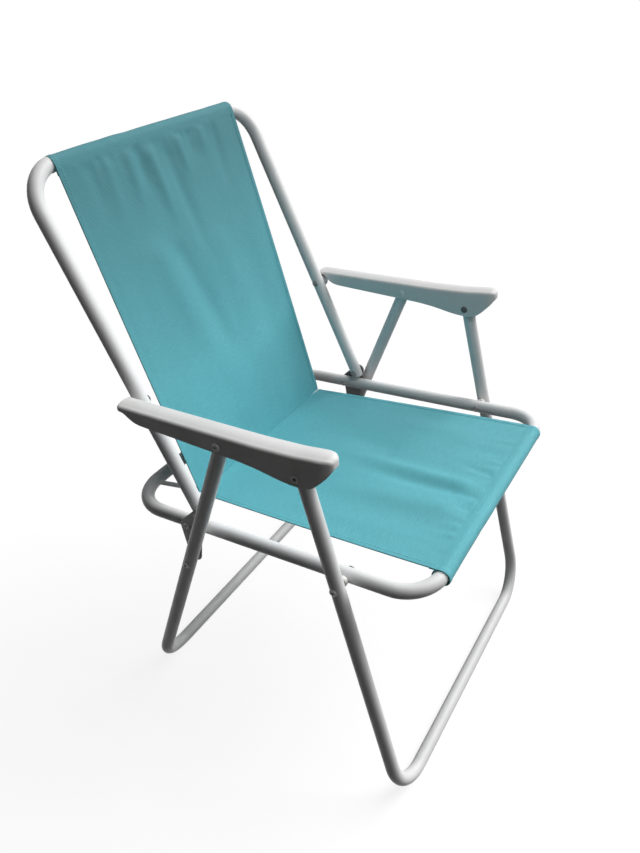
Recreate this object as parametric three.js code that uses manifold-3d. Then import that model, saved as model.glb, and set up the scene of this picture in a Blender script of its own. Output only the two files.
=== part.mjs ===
import * as THREE from 'three'
import { mergeVertices } from 'three/addons/utils/BufferGeometryUtils.js'
import Module from 'manifold-3d'

const wasm = await Module()
wasm.setup()

// Folding lawn chair: a round tube frame on six hinged links with a sewn mesh sling.
// X runs across the chair, Y to the back, Z up. The origin is on the floor below the middle.

// Frame tube
const tubeOuter = 22
const tubeWall = 1.2
const tubeSides = 16
const bendSteps = 6
const cornerSteps = 3
const armSteps = 13

// Pivot centres in side view, with the chair open
const postPivotY = 161
const postPivotZ = 591.5
const rearLegPivotY = -9.5
const rearLegPivotZ = 606.5
const frontLegPivotY = -133
const frontLegPivotZ = 607
const bracketPostY = 68
const bracketPostZ = 419.5
const bracketRailY = 90
const bracketRailZ = 390.5
const bracketLegY = 76
const bracketLegZ = 335
const railLegY = -190.5
const railLegZ = 429

// Reach of the frame past its pivots
const postReach = 342.3
const postEndReach = 8
const railFrontReach = 119
const railRearReach = 133
const legTopReach = 9
const frameCentre = 247.5
const topBend = 58
const seatFrontBend = 54
const seatRearBend = 68
const legBend = 70

// Fits and gaps
const gap = 0.3
const overrun = 40

// Armrest channel
const armGap = 2
const armSkin = 2.6
const legSideGap = 2.3
const armCorner = 6
const armCrown = 1.2
const armTail = 7.5
const noseLip = 10.5
const tailLip = 6
const armNose = 51
const topAtTail = 15.5
const topAtLeg = 24.6
const topAtFront = 33.4
const topAtNose = 41
const skirtDrop = 4.8
const lobeDrop = 12.6
const earRadius = 12.5
const noseCorner = 13
const tailCorner = 7

// Rivets, washers and spacers
const rivetRadius = 3
const rivetHead = 6
const headRise = 2.2
const flatRise = 1.3
const washerRadius = 8
const plugDome = 3
const plugStub = 4
const rivetSides = 10

// Stamped bracket
const bracketPlate = 2
const bracketPostRound = 10.5
const bracketRailRound = 12.5
const bracketLegRound = 12
const bracketTipBack = 2.5
const bossRadius = 9.5
const bossFlat = 6.5

// Tie rod across the crease of the sling
const rodRadius = 4
const rodInset = 26
const rodFlare = 17
const rodBend = 14
const rodSides = 10
const creaseBack = 30
const creaseRise = 4.4

// Mesh sling
const cloth = 1.2
const slingHalf = 199
const slingWaist = 11
const sleeveEase = 0.8
const sleeveSeam = 21
const pocketSeam = 16
const hemLap = 10
const seatSag = 5
const ripple = 1.6
const slingColumns = 18

// Values worked out from the sizes above
const tubeRadius = tubeOuter / 2
const boreRadius = tubeRadius - tubeWall
const facetShare = Math.cos(Math.PI / tubeSides)
const floorBarZ = tubeRadius * facetShare
const frameFace = frameCentre + tubeRadius
const frameInside = frameCentre - tubeRadius
const plateX = frameFace + gap
const skirtX = frameFace + armGap
const skirtInside = skirtX + armSkin
const legFace = skirtInside + legSideGap
const legCentre = legFace + tubeRadius
const armHalf = legCentre - skirtX
const legOutside = legCentre + tubeRadius
const holeRadius = rivetRadius + gap
const rodHalf = slingHalf - rodInset

const v2 = (y, z) => new THREE.Vector2(y, z)
const postPivot = v2(postPivotY, postPivotZ)
const rearLegPivot = v2(rearLegPivotY, rearLegPivotZ)
const frontLegPivot = v2(frontLegPivotY, frontLegPivotZ)
const bracketPost = v2(bracketPostY, bracketPostZ)
const bracketRail = v2(bracketRailY, bracketRailZ)
const bracketLeg = v2(bracketLegY, bracketLegZ)
const railLeg = v2(railLegY, railLegZ)

const towards = (from, to) => to.clone().sub(from).normalize()
const along = (from, direction, reach) => from.clone().addScaledVector(direction, reach)
const square = (direction) => v2(-direction.y, direction.x)
const downTo = (from, direction, height) => along(from, direction, (height - from.y) / direction.y)

const postUp = towards(bracketPost, postPivot)
const topBar = along(postPivot, postUp, postReach)
const postEnd = along(bracketPost, postUp, -postEndReach)
const railAhead = towards(bracketRail, railLeg)
const railUp = square(railAhead).negate()
const frontBar = along(railLeg, railAhead, railFrontReach)
const rearBar = along(bracketRail, railAhead, -railRearReach)
const crease = along(along(bracketRail, railAhead, -creaseBack), railUp, creaseRise)
const rearLegDown = towards(rearLegPivot, bracketLeg)
const frontLegDown = towards(frontLegPivot, railLeg)
const rearFloor = downTo(rearLegPivot, rearLegDown, floorBarZ)
const frontFloor = downTo(frontLegPivot, frontLegDown, floorBarZ)

// Solids for joining and cutting
function solidOf(geometry) {
  const bare = geometry.clone()
  bare.deleteAttribute('normal')
  bare.deleteAttribute('uv')
  const merged = mergeVertices(bare, 1e-4)
  const places = merged.attributes.position.array
  const corner = (i) => new THREE.Vector3().fromArray(places, 3 * i)
  const kept = []
  let volume = 0
  for (let i = 0; i < merged.index.count; i += 3) {
    const [a, b, c] = merged.index.array.slice(i, i + 3)
    if (a === b || b === c || c === a) continue
    kept.push([a, b, c])
    volume += corner(a).dot(corner(b).cross(corner(c)))
  }
  const turned = volume < 0 ? kept.map(([a, b, c]) => [a, c, b]) : kept
  return new wasm.Manifold(new wasm.Mesh({
    numProp: 3,
    vertProperties: Float32Array.from(places),
    triVerts: Uint32Array.from(turned.flat())
  }))
}

function geometryOf(solid) {
  const mesh = solid.getMesh()
  const geometry = new THREE.BufferGeometry()
  geometry.setAttribute('position', new THREE.BufferAttribute(mesh.vertProperties.slice(), 3))
  geometry.setIndex(Array.from(mesh.triVerts))
  geometry.computeVertexNormals()
  return geometry
}

// A path of straight runs and round bends, sampled at its bends and ends only
class BentPath extends THREE.Curve {
  constructor(corners, radii) {
    super()
    this.stations = [[corners[0], corners[1].clone().sub(corners[0]).normalize()]]
    for (let i = 1; i < corners.length - 1; i += 1) {
      const before = corners[i].clone().sub(corners[i - 1]).normalize()
      const after = corners[i + 1].clone().sub(corners[i]).normalize()
      const turn = before.angleTo(after)
      const cut = radii[i - 1] * Math.tan(turn / 2)
      const start = corners[i].clone().addScaledVector(before, -cut)
      const inward = after.clone().addScaledVector(before, -before.dot(after)).normalize()
      for (let k = 0; k <= bendSteps; k += 1) {
        const angle = turn * k / bendSteps
        const point = start.clone()
        point.addScaledVector(before, radii[i - 1] * Math.sin(angle))
        point.addScaledVector(inward, radii[i - 1] * (1 - Math.cos(angle)))
        const tangent = before.clone().multiplyScalar(Math.cos(angle))
        tangent.addScaledVector(inward, Math.sin(angle))
        this.stations.push([point, tangent])
      }
    }
    const last = corners[corners.length - 1]
    this.stations.push([last, last.clone().sub(corners[corners.length - 2]).normalize()])
  }
  station(share) {
    return this.stations[Math.round(share * (this.stations.length - 1))]
  }
  getPointAt(share, target = new THREE.Vector3()) {
    return target.copy(this.station(share)[0])
  }
  getTangentAt(share, target = new THREE.Vector3()) {
    return target.copy(this.station(share)[1])
  }
}

const at = (x, point) => new THREE.Vector3(x, point.x, point.y)

function disc(radius, sides, phase) {
  const shape = new THREE.Shape()
  for (let i = 0; i < sides; i += 1) {
    const angle = phase + 2 * Math.PI * i / sides
    const x = radius * Math.cos(angle)
    const y = radius * Math.sin(angle)
    if (i === 0) shape.moveTo(x, y)
    else shape.lineTo(x, y)
  }
  shape.closePath()
  return shape
}

function sweep(path, shape) {
  const steps = path.stations.length - 1
  const options = { steps, curveSegments: cornerSteps, bevelEnabled: false, extrudePath: path }
  return new THREE.ExtrudeGeometry(shape, options)
}

// A bar along X between two places, for holes, pins and rollers
function bar(radius, sides, point, startX, endX) {
  const geometry = new THREE.CylinderGeometry(radius, radius, endX - startX, sides)
  geometry.rotateZ(-Math.PI / 2)
  geometry.translate((startX + endX) / 2, point.x, point.y)
  return geometry
}

// Bore a hole along X through both sides of a frame tube
function bored(solid, points, startX, endX, radius = holeRadius) {
  let result = solid
  for (const point of points) {
    for (const side of [1, -1]) {
      const low = Math.min(side * startX, side * endX)
      const high = Math.max(side * startX, side * endX)
      result = result.subtract(solidOf(bar(radius, rivetSides, point, low, high)))
    }
  }
  return result
}

// The flats of a U tube's section are turned so that one lies level under its cross bar
function tubePhase(down) {
  return Math.atan2(down.x, -down.y) + Math.PI / tubeSides
}

function hollowTube(path, phase = 0) {
  const outer = disc(tubeRadius, tubeSides, phase)
  outer.holes.push(disc(boreRadius, tubeSides, phase))
  return solidOf(sweep(path, outer))
}

function uTube(endPoint, cornerPoint, halfWidth, bend, phase) {
  const path = new BentPath(
    [at(halfWidth, endPoint), at(halfWidth, cornerPoint), at(-halfWidth, cornerPoint), at(-halfWidth, endPoint)],
    [bend, bend]
  )
  return hollowTube(path, phase)
}

// Back frame: two posts and the top bar in one bent tube
const backTube = bored(
  uTube(postEnd, topBar, frameCentre, topBend, 0),
  [postPivot, bracketPost], frameInside - overrun, frameFace + overrun
)

// Seat frame: one closed loop of tube, joined in the middle of its front and rear bars
function loopPath(side) {
  const lap = tubeWall
  return new BentPath(
    [at(-side * lap, frontBar), at(side * frameCentre, frontBar),
      at(side * frameCentre, rearBar), at(-side * lap, rearBar)],
    [seatFrontBend, seatRearBend]
  )
}
const loopHalf = (side) => hollowTube(loopPath(side))
const seatTube = bored(
  loopHalf(1).add(loopHalf(-1)),
  [railLeg, bracketRail], frameInside - overrun, frameFace + overrun
)

// Legs: each pair is one U tube whose cross bar lies on the floor
const rearLegTop = along(rearLegPivot, rearLegDown, -legTopReach)
const frontLegTop = along(frontLegPivot, frontLegDown, -legTopReach)
const rearLegTube = bored(
  uTube(rearLegTop, rearFloor, legCentre, legBend, tubePhase(rearLegDown)),
  [rearLegPivot, bracketLeg], legFace - overrun, legOutside + overrun
)
const frontLegTube = bored(
  uTube(frontLegTop, frontFloor, legCentre, legBend, tubePhase(frontLegDown)),
  [frontLegPivot, railLeg], legFace - overrun, legOutside + overrun
)

// A flat shape drawn in side view, made thick along X
function slab(shape, startX, endX) {
  const geometry = new THREE.ExtrudeGeometry(shape, { depth: endX - startX, bevelEnabled: false })
  const across = new THREE.Vector3(1, 0, 0)
  geometry.applyMatrix4(new THREE.Matrix4().makeBasis(at(0, v2(1, 0)), at(0, v2(0, 1)), across))
  geometry.translate(startX, 0, 0)
  return solidOf(geometry)
}

function outline(points) {
  const shape = new THREE.Shape()
  points.forEach((point, i) => {
    if (i === 0) shape.moveTo(point.x, point.y)
    else shape.lineTo(point.x, point.y)
  })
  shape.closePath()
  return shape
}

// Armrest: a moulded channel. Its side profile is drawn ahead of the post pivot, along the
// line to the front leg pivot, as shares of that length and heights above the line.
const armAhead = towards(postPivot, frontLegPivot)
const armUp = square(armAhead).negate()
const armLength = postPivot.distanceTo(frontLegPivot)
const armPoint = (ahead, height) => along(along(postPivot, armAhead, ahead), armUp, height)
const legAhead = rearLegPivot.clone().sub(postPivot).dot(armAhead)
const noseEnd = armLength + armNose

const armTop = [
  [-earRadius - overrun, topAtTail - armSkin],
  [-armTail, topAtTail],
  [legAhead / 2, (topAtTail + topAtLeg) / 2],
  [legAhead, topAtLeg],
  [(legAhead + armLength) / 2, (topAtLeg + topAtFront) / 2 - armCrown],
  [armLength, topAtFront],
  [armLength + armNose / 2, (topAtFront + topAtNose) / 2 + armCrown / 2],
  [noseEnd, topAtNose],
  [noseEnd + armNose, topAtNose]
]

// The lower edge of the skirts from nose to tail: shares of the length, shares of the drop
const noseShares = [[0.98, 0.66], [0.88, 0.48], [0.74, 0.26], [0.61, 0.07]]
const lobeShares = [
  [1.085, 0.34], [1.06, 0.8], [1.03, 0.96], [0.98, 1], [0.94, 0.97], [0.89, 0.84], [0.84, 0.66], [0.79, 0.51],
  [0.73, 0.42]
]
const tailShares = [[2.3, -0.82], [1.65, -0.35], [1.15, 0.14], [0.8, 0.38], [0.5, 0.54]]
const earShares = [0.33, 0.42, 0.5, 0.6, 0.7, 0.8, 0.9, 1, 1.1, 1.2]

function armProfile(hasEar) {
  const points = [[-armTail, topAtNose + overrun], [noseEnd, topAtNose + overrun], [noseEnd, topAtNose - noseLip]]
  noseShares.forEach(([ahead, height]) => points.push([armLength + armNose * ahead, topAtNose * height]))
  lobeShares.forEach(([ahead, drop]) => points.push([armLength * ahead, -lobeDrop * drop]))
  points.push([armLength * lobeShares.at(-1)[0] - armSkin * 2, -skirtDrop])
  if (hasEar) {
    points.push([earRadius * 2.4, -skirtDrop])
    earShares.forEach((turn) => {
      const angle = -Math.PI * turn
      points.push([earRadius * Math.cos(angle), earRadius * Math.sin(angle)])
    })
  } else {
    points.push([earRadius * 2.7, -skirtDrop])
    tailShares.forEach(([ahead, height]) => {
      points.push([earRadius * ahead, height < 0 ? skirtDrop * height : topAtTail * height])
    })
  }
  points.push([-armTail, topAtTail - (hasEar ? armSkin : tailLip)])
  return outline(points.map(([ahead, height]) => armPoint(ahead, height)))
}

// The armrest's section, filled: its outside has a crowned top, and its hollow a flat one
function armSection(inset) {
  const depth = topAtNose + lobeDrop + overrun
  const half = armHalf - inset
  const corner = armCorner - inset
  const quarter = Math.PI / 2
  const shape = new THREE.Shape()
  shape.moveTo(-half, depth)
  shape.lineTo(-half, armCorner + armCrown)
  shape.absarc(-half + corner, armCorner + armCrown, corner, 2 * quarter, 3 * quarter)
  if (inset === 0) shape.quadraticCurveTo(0, -armCrown, half - corner, armCrown)
  shape.absarc(half - corner, armCorner + armCrown, corner, 3 * quarter, 4 * quarter)
  shape.lineTo(half, depth)
  shape.closePath()
  return shape
}

class FramedSpline extends THREE.Curve {
  constructor(points, steps) {
    super()
    const spline = new THREE.CatmullRomCurve3(points, false, 'centripetal')
    this.stations = []
    for (let i = 0; i <= steps; i += 1) {
      this.stations.push([spline.getPoint(i / steps), spline.getTangent(i / steps)])
    }
  }
  station(share) {
    return this.stations[Math.round(share * (this.stations.length - 1))]
  }
  getPointAt(share, target = new THREE.Vector3()) {
    return target.copy(this.station(share)[0])
  }
  getTangentAt(share, target = new THREE.Vector3()) {
    return target.copy(this.station(share)[1])
  }
}

// The plan view: round corners at the nose and at the outer side of the tail
function armPlan(inset) {
  const quarter = Math.PI / 2
  const shape = new THREE.Shape()
  const back = -earRadius - overrun
  const half = armHalf - inset
  const nose = noseEnd - inset
  const tail = inset - armTail
  const noseRound = noseCorner - inset
  const tailRound = tailCorner - inset
  shape.moveTo(back, -half)
  shape.lineTo(nose - noseRound, -half)
  shape.absarc(nose - noseRound, -half + noseRound, noseRound, -quarter, 0)
  shape.absarc(nose - noseRound, half - noseRound, noseRound, 0, quarter)
  shape.lineTo(tail + tailRound, half)
  shape.absarc(tail + tailRound, half - tailRound, tailRound, quarter, 2 * quarter)
  shape.lineTo(tail, 0)
  shape.lineTo(back, 0)
  return shape
}

function armBlank(inset) {
  const topPath = new FramedSpline(armTop.map(([ahead, height]) => at(legCentre, armPoint(ahead, height))), armSteps)
  const planDepth = topAtNose + overrun
  const planOptions = { depth: 2 * planDepth, curveSegments: cornerSteps + 1, bevelEnabled: false }
  const plan = new THREE.ExtrudeGeometry(armPlan(inset), planOptions)
  plan.translate(0, 0, -planDepth)
  plan.applyMatrix4(new THREE.Matrix4().makeBasis(at(0, armAhead), new THREE.Vector3(1, 0, 0), at(0, armUp)))
  plan.translate(legCentre, postPivot.x, postPivot.y)
  return solidOf(sweep(topPath, armSection(inset))).intersect(solidOf(plan))
}

// The armrest is hollow from below: its top, its skirts and the rims at its ends are one skin
function armrestSolid() {
  const innerSide = slab(armProfile(true), skirtX - overrun, legCentre)
  const outerSide = slab(armProfile(false), legCentre, legOutside + overrun)
  let solid = armBlank(0).intersect(innerSide.add(outerSide)).subtract(armBlank(armSkin))
  const hole = (point, startX, endX) => solidOf(bar(holeRadius, rivetSides, point, startX, endX))
  solid = solid.subtract(hole(postPivot, skirtX - overrun, legCentre))
  solid = solid.subtract(hole(rearLegPivot, skirtX - overrun, legOutside + overrun))
  return solid.subtract(hole(frontLegPivot, skirtX - overrun, legOutside + overrun))
}
const armrest = armrestSolid()

// Bracket: a stamped plate with three round corners, dished out at its lower pivot to reach
// the rear leg
function roundHull(circles) {
  const shape = new THREE.Shape()
  const angles = circles.map(([centre, radius], i) => {
    const [next, nextRadius] = circles[(i + 1) % circles.length]
    const away = next.clone().sub(centre)
    return Math.atan2(away.y, away.x) - Math.acos((radius - nextRadius) / away.length())
  })
  circles.forEach(([centre, radius], i) => {
    const start = angles[(i + circles.length - 1) % circles.length]
    let end = angles[i]
    while (end < start) end += 2 * Math.PI
    for (let k = 0; k <= bendSteps; k += 1) {
      const angle = start + (end - start) * k / bendSteps
      const point = along(centre, v2(Math.cos(angle), Math.sin(angle)), radius)
      if (i === 0 && k === 0) shape.moveTo(point.x, point.y)
      else shape.lineTo(point.x, point.y)
    }
  })
  shape.closePath()
  return shape
}

function cone(startRadius, endRadius, point, startX, endX) {
  const geometry = new THREE.CylinderGeometry(endRadius, startRadius, endX - startX, 2 * rivetSides)
  geometry.rotateZ(-Math.PI / 2)
  geometry.translate((startX + endX) / 2, point.x, point.y)
  return solidOf(geometry)
}

const bossX = legFace - gap
const plateOutside = plateX + bracketPlate
const bossInside = bossX - bracketPlate

function bracketSolid() {
  const tip = v2(bracketLeg.x + bracketTipBack, bracketLeg.y)
  const plan = roundHull([
    [tip, bracketLegRound], [bracketRail, bracketRailRound], [bracketPost, bracketPostRound]
  ])
  const wall = bracketPlate * 0.9
  const slope = (bossRadius - bossFlat) / (bossX - plateX)
  const mouth = bossRadius - wall + slope * gap
  let solid = slab(plan, plateX, plateOutside)
  solid = solid.add(cone(bossRadius, bossFlat, bracketLeg, plateX, bossX))
  solid = solid.subtract(cone(mouth, bossFlat - wall / 2, bracketLeg, plateX - gap, bossInside))
  for (const point of [bracketPost, bracketRail, bracketLeg]) {
    solid = solid.subtract(solidOf(bar(holeRadius, rivetSides, point, plateX - overrun, bossX + overrun)))
  }
  return solid
}
const bracket = bracketSolid()

// Rivets: a shank with one or two domed heads, along X from its own start
function rivetGeometry(length, startHead, endHead, startRise = headRise, endRise = headRise) {
  const dome = (head, rise) => [[head, 0], [head * 0.86, rise * 0.5], [head * 0.5, rise * 0.88], [0, rise]]
  const points = []
  if (startHead > 0) {
    dome(startHead, startRise).reverse().forEach(([radius, out]) => points.push(v2(radius, -out)))
  } else {
    points.push(v2(0, 0))
  }
  points.push(v2(rivetRadius, 0), v2(rivetRadius, length))
  if (endHead > 0) {
    dome(endHead, endRise).forEach(([radius, out]) => points.push(v2(radius, length + out)))
  } else {
    points.push(v2(0, length))
  }
  const geometry = new THREE.LatheGeometry(points, rivetSides)
  geometry.rotateZ(-Math.PI / 2)
  return geometryOf(solidOf(geometry))
}

function washerGeometry(thickness, radius = washerRadius) {
  const shape = disc(radius, rivetSides + cornerSteps + 1, 0)
  shape.holes.push(disc(holeRadius, rivetSides, Math.PI / rivetSides))
  const geometry = new THREE.ExtrudeGeometry(shape, { depth: thickness, bevelEnabled: false })
  geometry.rotateY(Math.PI / 2)
  return geometryOf(solidOf(geometry))
}

// The line that a panel of the sling keeps between its bar and the crease: its way, and its upper side
function panelLine(bar, barSide, creaseSide, turn) {
  const direct = towards(bar, crease)
  const lean = turn * Math.acos((barSide - creaseSide) / bar.distanceTo(crease))
  const upper = direct.clone().rotateAround(v2(0, 0), lean)
  return { upper, ahead: square(upper).multiplyScalar(-turn) }
}
const sleeveRound = tubeRadius + sleeveEase + cloth / 2
const pocketRound = rodRadius + gap + cloth / 2
const creaseStep = cloth + gap
const seatLine = panelLine(frontBar, sleeveRound, 0, 1)
const backLine = panelLine(topBar, sleeveRound, -creaseStep, -1)
const rodCentre = along(crease, seatLine.upper, -pocketRound)

// Tie rod: a thin U that holds the crease of the sling to the rear bar
function tieRodSolid() {
  const footHalf = rodHalf + rodFlare
  const path = new BentPath(
    [at(footHalf, rearBar), at(rodHalf, rodCentre), at(-rodHalf, rodCentre), at(-footHalf, rearBar)],
    [rodBend, rodBend]
  )
  const rod = solidOf(sweep(path, disc(rodRadius, rodSides, 0)))
  const saddle = disc(tubeRadius + gap, 2 * tubeSides, 0)
  return rod.subtract(solidOf(sweep(loopPath(1), saddle))).subtract(solidOf(sweep(loopPath(-1), saddle)))
}

// Cloth: a strip of even thickness whose side view is a line of stations
function clothStrip(stations, halfAt, lift, slide) {
  const rows = stations.length
  const columns = slingColumns + 1
  const normals = stations.map((_, i) => {
    const before = stations[Math.max(i - 1, 0)]
    const after = stations[Math.min(i + 1, rows - 1)]
    return square(towards(before, after))
  })
  const lengths = [0]
  for (let i = 1; i < rows; i += 1) lengths.push(lengths[i - 1] + stations[i].distanceTo(stations[i - 1]))
  const places = []
  for (const face of [0.5, -0.5]) {
    stations.forEach((station, i) => {
      for (let j = 0; j < columns; j += 1) {
        const share = j / slingColumns
        const x = halfAt(i) * (2 * share - 1)
        const out = face * cloth + lift(i, share)
        const [slideY, slideZ] = slide(i, x)
        places.push(x, station.x + normals[i].x * out + slideY, station.y + normals[i].y * out + slideZ)
      }
    })
  }
  const index = []
  const place = (face, i, j) => (face * rows + i) * columns + j
  const quad = (a, b, c, d) => index.push(a, b, c, a, c, d)
  for (let i = 0; i < rows - 1; i += 1) {
    for (let j = 0; j < slingColumns; j += 1) {
      quad(place(0, i, j), place(0, i, j + 1), place(0, i + 1, j + 1), place(0, i + 1, j))
      quad(place(1, i, j), place(1, i + 1, j), place(1, i + 1, j + 1), place(1, i, j + 1))
    }
    quad(place(0, i + 1, 0), place(1, i + 1, 0), place(1, i, 0), place(0, i, 0))
    quad(place(0, i, slingColumns), place(1, i, slingColumns), place(1, i + 1, slingColumns),
      place(0, i + 1, slingColumns))
  }
  for (let j = 0; j < slingColumns; j += 1) {
    quad(place(1, 0, j), place(1, 0, j + 1), place(0, 0, j + 1), place(0, 0, j))
    quad(place(0, rows - 1, j), place(0, rows - 1, j + 1), place(1, rows - 1, j + 1), place(1, rows - 1, j))
  }
  const geometry = new THREE.BufferGeometry()
  geometry.setAttribute('position', new THREE.BufferAttribute(new Float32Array(places), 3))
  geometry.setIndex(index)
  return geometryOf(solidOf(geometry))
}

// Stations of a sleeve round a bar: hem, lower run, turn round the bar to its upper side.
// They are given in the frame of the bar: away from it along the panel, and to the upper side.
function sleeve(round, seam, turnSteps) {
  const under = round - cloth - gap
  const start = Math.atan2(under, seam) - Math.acos(round / Math.hypot(seam, under))
  const turn = 3 * Math.PI / 2 + start
  const stations = [[seam + hemLap, under], [seam, under]]
  for (let k = 0; k <= turnSteps; k += 1) {
    const angle = start - turn * k / turnSteps
    stations.push([round * Math.cos(angle), round * Math.sin(angle)])
  }
  return stations
}

const panelSteps = 9
const sleeveSteps = 9
const pocketSteps = 7

// A panel in side view: the sleeve round its bar, its run, and its end at the crease
function panelStations(bar, line, end, endStations, endReach) {
  const start = sleeve(sleeveRound, sleeveSeam, sleeveSteps).map(
    ([away, up]) => along(along(bar, line.ahead, away), line.upper, up)
  )
  const first = along(start[start.length - 1], line.ahead, sleeveSeam + hemLap)
  const last = along(along(end, line.ahead, -endReach), line.upper, endStations[0][1])
  const middle = []
  for (let k = 0; k <= panelSteps; k += 1) middle.push(first.clone().lerp(last, k / panelSteps))
  const close = endStations.map(([away, up]) => along(along(end, line.ahead, -away), line.upper, up))
  return { stations: [...start, ...middle, ...close], startCount: start.length, middleCount: middle.length }
}

// Where a sleeve reaches past the straight of its bar, it follows the start of the bend
function bendSlide(panel, ahead, bend) {
  return (i, x) => {
    const past = Math.max(Math.abs(x) - (frameCentre - bend), 0)
    const reach = i < panel.startCount - 1 ? bend - Math.sqrt(bend * bend - past * past) : 0
    return [ahead.x * reach, ahead.y * reach]
  }
}

const panelShare = (panel, i) => {
  const share = (i - panel.startCount) / (panel.middleCount - 1)
  return Math.min(Math.max(share, 0), 1)
}

// The pull along the sling draws its sides in towards the crease
const panelHalf = (panel, i) => slingHalf - slingWaist * Math.pow(panelShare(panel, i), 1.5)

// The seat panel: a shallow sag and long ripples, and a pocket round the tie rod
const pocketHalf = rodHalf - rodBend - gap
const seatEnd = [[creaseStep, pocketRound], ...sleeve(pocketRound, pocketSeam, pocketSteps).reverse()]
const seatPanel = panelStations(frontBar, seatLine, rodCentre, seatEnd, pocketSeam + hemLap)
const inPocket = (i) => i > seatPanel.startCount + seatPanel.middleCount
const sideSwell = (share) => 4 * share * (1 - share)

function seatLift(i, share) {
  const way = panelShare(seatPanel, i)
  const window = sideSwell(way)
  const sag = -seatSag * window * sideSwell(share)
  const wave = Math.sin(2 * Math.PI * (2.6 * share + 0.5 * way)) + 0.6 * Math.sin(2 * Math.PI * (4.2 * share))
  return sag + ripple * window * wave
}
const slingSeat = clothStrip(
  seatPanel.stations,
  (i) => (inPocket(i) ? pocketHalf : panelHalf(seatPanel, i)),
  seatLift,
  bendSlide(seatPanel, seatLine.ahead, seatFrontBend)
)

// The back panel: ripples that run down and slant together into the crease
const backPanel = panelStations(
  topBar, backLine, crease, [[creaseStep, -creaseStep]], creaseStep + pocketSeam
)

function backLift(i, share) {
  const way = panelShare(backPanel, i)
  const window = sideSwell(way)
  const slant = Math.sin(2 * Math.PI * (3.1 * share - 0.9 * way * (share - 0.5)))
  const fold = Math.sin(2 * Math.PI * (1.4 * share + 1.1 * way))
  return -ripple * window * (slant * (0.5 + 0.5 * way) + 0.8 * fold)
}
const slingBack = clothStrip(
  backPanel.stations,
  (i) => panelHalf(backPanel, i),
  backLift,
  bendSlide(backPanel, backLine.ahead, topBend)
)

// Post plug: a domed cap on a short stub, pushed into the lower end of each post
function plugGeometry() {
  const stub = boreRadius - gap
  const points = [v2(0, -plugStub), v2(stub, -plugStub), v2(stub, gap), v2(tubeRadius, gap)]
  points.push(v2(tubeRadius, gap + plugDome * 0.35), v2(tubeRadius * 0.72, gap + plugDome * 0.8))
  points.push(v2(0, gap + plugDome))
  return geometryOf(solidOf(new THREE.LatheGeometry(points, tubeSides)))
}

// Finishes
const paint = { color: 0xd9dde0, roughness: 0.38, metalness: 0.1 }
const moulding = { color: 0xd6dadd, roughness: 0.5, metalness: 0 }
const stamped = { color: 0x8f9498, roughness: 0.4, metalness: 0.7 }
const bright = { color: 0xb9bdc1, roughness: 0.3, metalness: 0.9 }
const nylon = { color: 0xe8e8e4, roughness: 0.6, metalness: 0 }
const fabric = { color: 0x5aa9b4, roughness: 0.75, metalness: 0 }

const group = new THREE.Group()
const bodies = {}
for (const name of ['back', 'armrests', 'rear_legs', 'front_legs', 'brackets', 'seat', 'sling_back']) {
  bodies[name] = new THREE.Group()
  group.add(bodies[name])
}

function add(body, name, geometry, finish, place = new THREE.Vector3()) {
  const mesh = new THREE.Mesh(geometry, new THREE.MeshStandardMaterial(finish))
  mesh.name = name
  mesh.position.copy(place)
  bodies[body].add(mesh)
  return mesh
}

function mirrored(geometry) {
  const copy = geometry.clone()
  copy.scale(-1, 1, 1)
  const index = Array.from(copy.index.array)
  for (let i = 0; i < index.length; i += 3) [index[i], index[i + 1]] = [index[i + 1], index[i]]
  copy.setIndex(index)
  copy.computeVertexNormals()
  return copy
}

// A piece and its mirror image on the other side; geometry lies to the outside of startX
function addPair(body, name, geometry, finish, startX, point) {
  add(body, `${name}_right`, geometry, finish, at(startX, point))
  add(body, `${name}_left`, mirrored(geometry), finish, at(-startX, point))
}
const origin = v2(0, 0)

add('back', 'back_tube', geometryOf(backTube), paint)
add('rear_legs', 'rear_leg_tube', geometryOf(rearLegTube), paint)
add('front_legs', 'front_leg_tube', geometryOf(frontLegTube), paint)
add('seat', 'seat_tube', geometryOf(seatTube), paint)
add('seat', 'tie_rod', geometryOf(tieRodSolid()), paint)
add('seat', 'sling_seat', slingSeat, fabric)
add('sling_back', 'sling_back', slingBack, fabric)
addPair('armrests', 'armrest', geometryOf(armrest), moulding, 0, origin)
addPair('brackets', 'bracket', geometryOf(bracket), stamped, 0, origin)

const plug = plugGeometry()
const plugTurn = new THREE.Quaternion().setFromUnitVectors(
  new THREE.Vector3(0, 1, 0), at(0, postUp.clone().negate())
)
add('back', 'post_plug_right', plug, nylon, at(frameCentre, postEnd)).quaternion.copy(plugTurn)
add('back', 'post_plug_left', plug, nylon, at(-frameCentre, postEnd)).quaternion.copy(plugTurn)

// Armrest to post: the head inside the channel stays clear of the folded leg
const postStart = frameInside - gap
addPair('armrests', 'rivet_armrest_post',
  rivetGeometry(skirtInside + gap - postStart, rivetHead, rivetHead, headRise, legSideGap - 2 * gap),
  bright, postStart, postPivot)
addPair('armrests', 'washer_armrest_post', washerGeometry(armGap - 2 * gap), nylon, frameFace + gap, postPivot)

// Armrest to the two legs, with a washer on each side of the leg
const skirtStart = skirtX - gap
for (const [name, point] of [['rear_leg', rearLegPivot], ['front_leg', frontLegPivot]]) {
  addPair('armrests', `rivet_armrest_${name}`,
    rivetGeometry(legOutside + legSideGap + armSkin + gap - skirtStart, rivetHead, rivetHead, flatRise, headRise),
    bright, skirtStart, point)
  addPair('armrests', `washer_${name}_inner`, washerGeometry(legSideGap - 2 * gap), nylon, skirtInside + gap, point)
  addPair('armrests', `washer_${name}_outer`, washerGeometry(legSideGap - 2 * gap), nylon, legOutside + gap, point)
}

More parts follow.
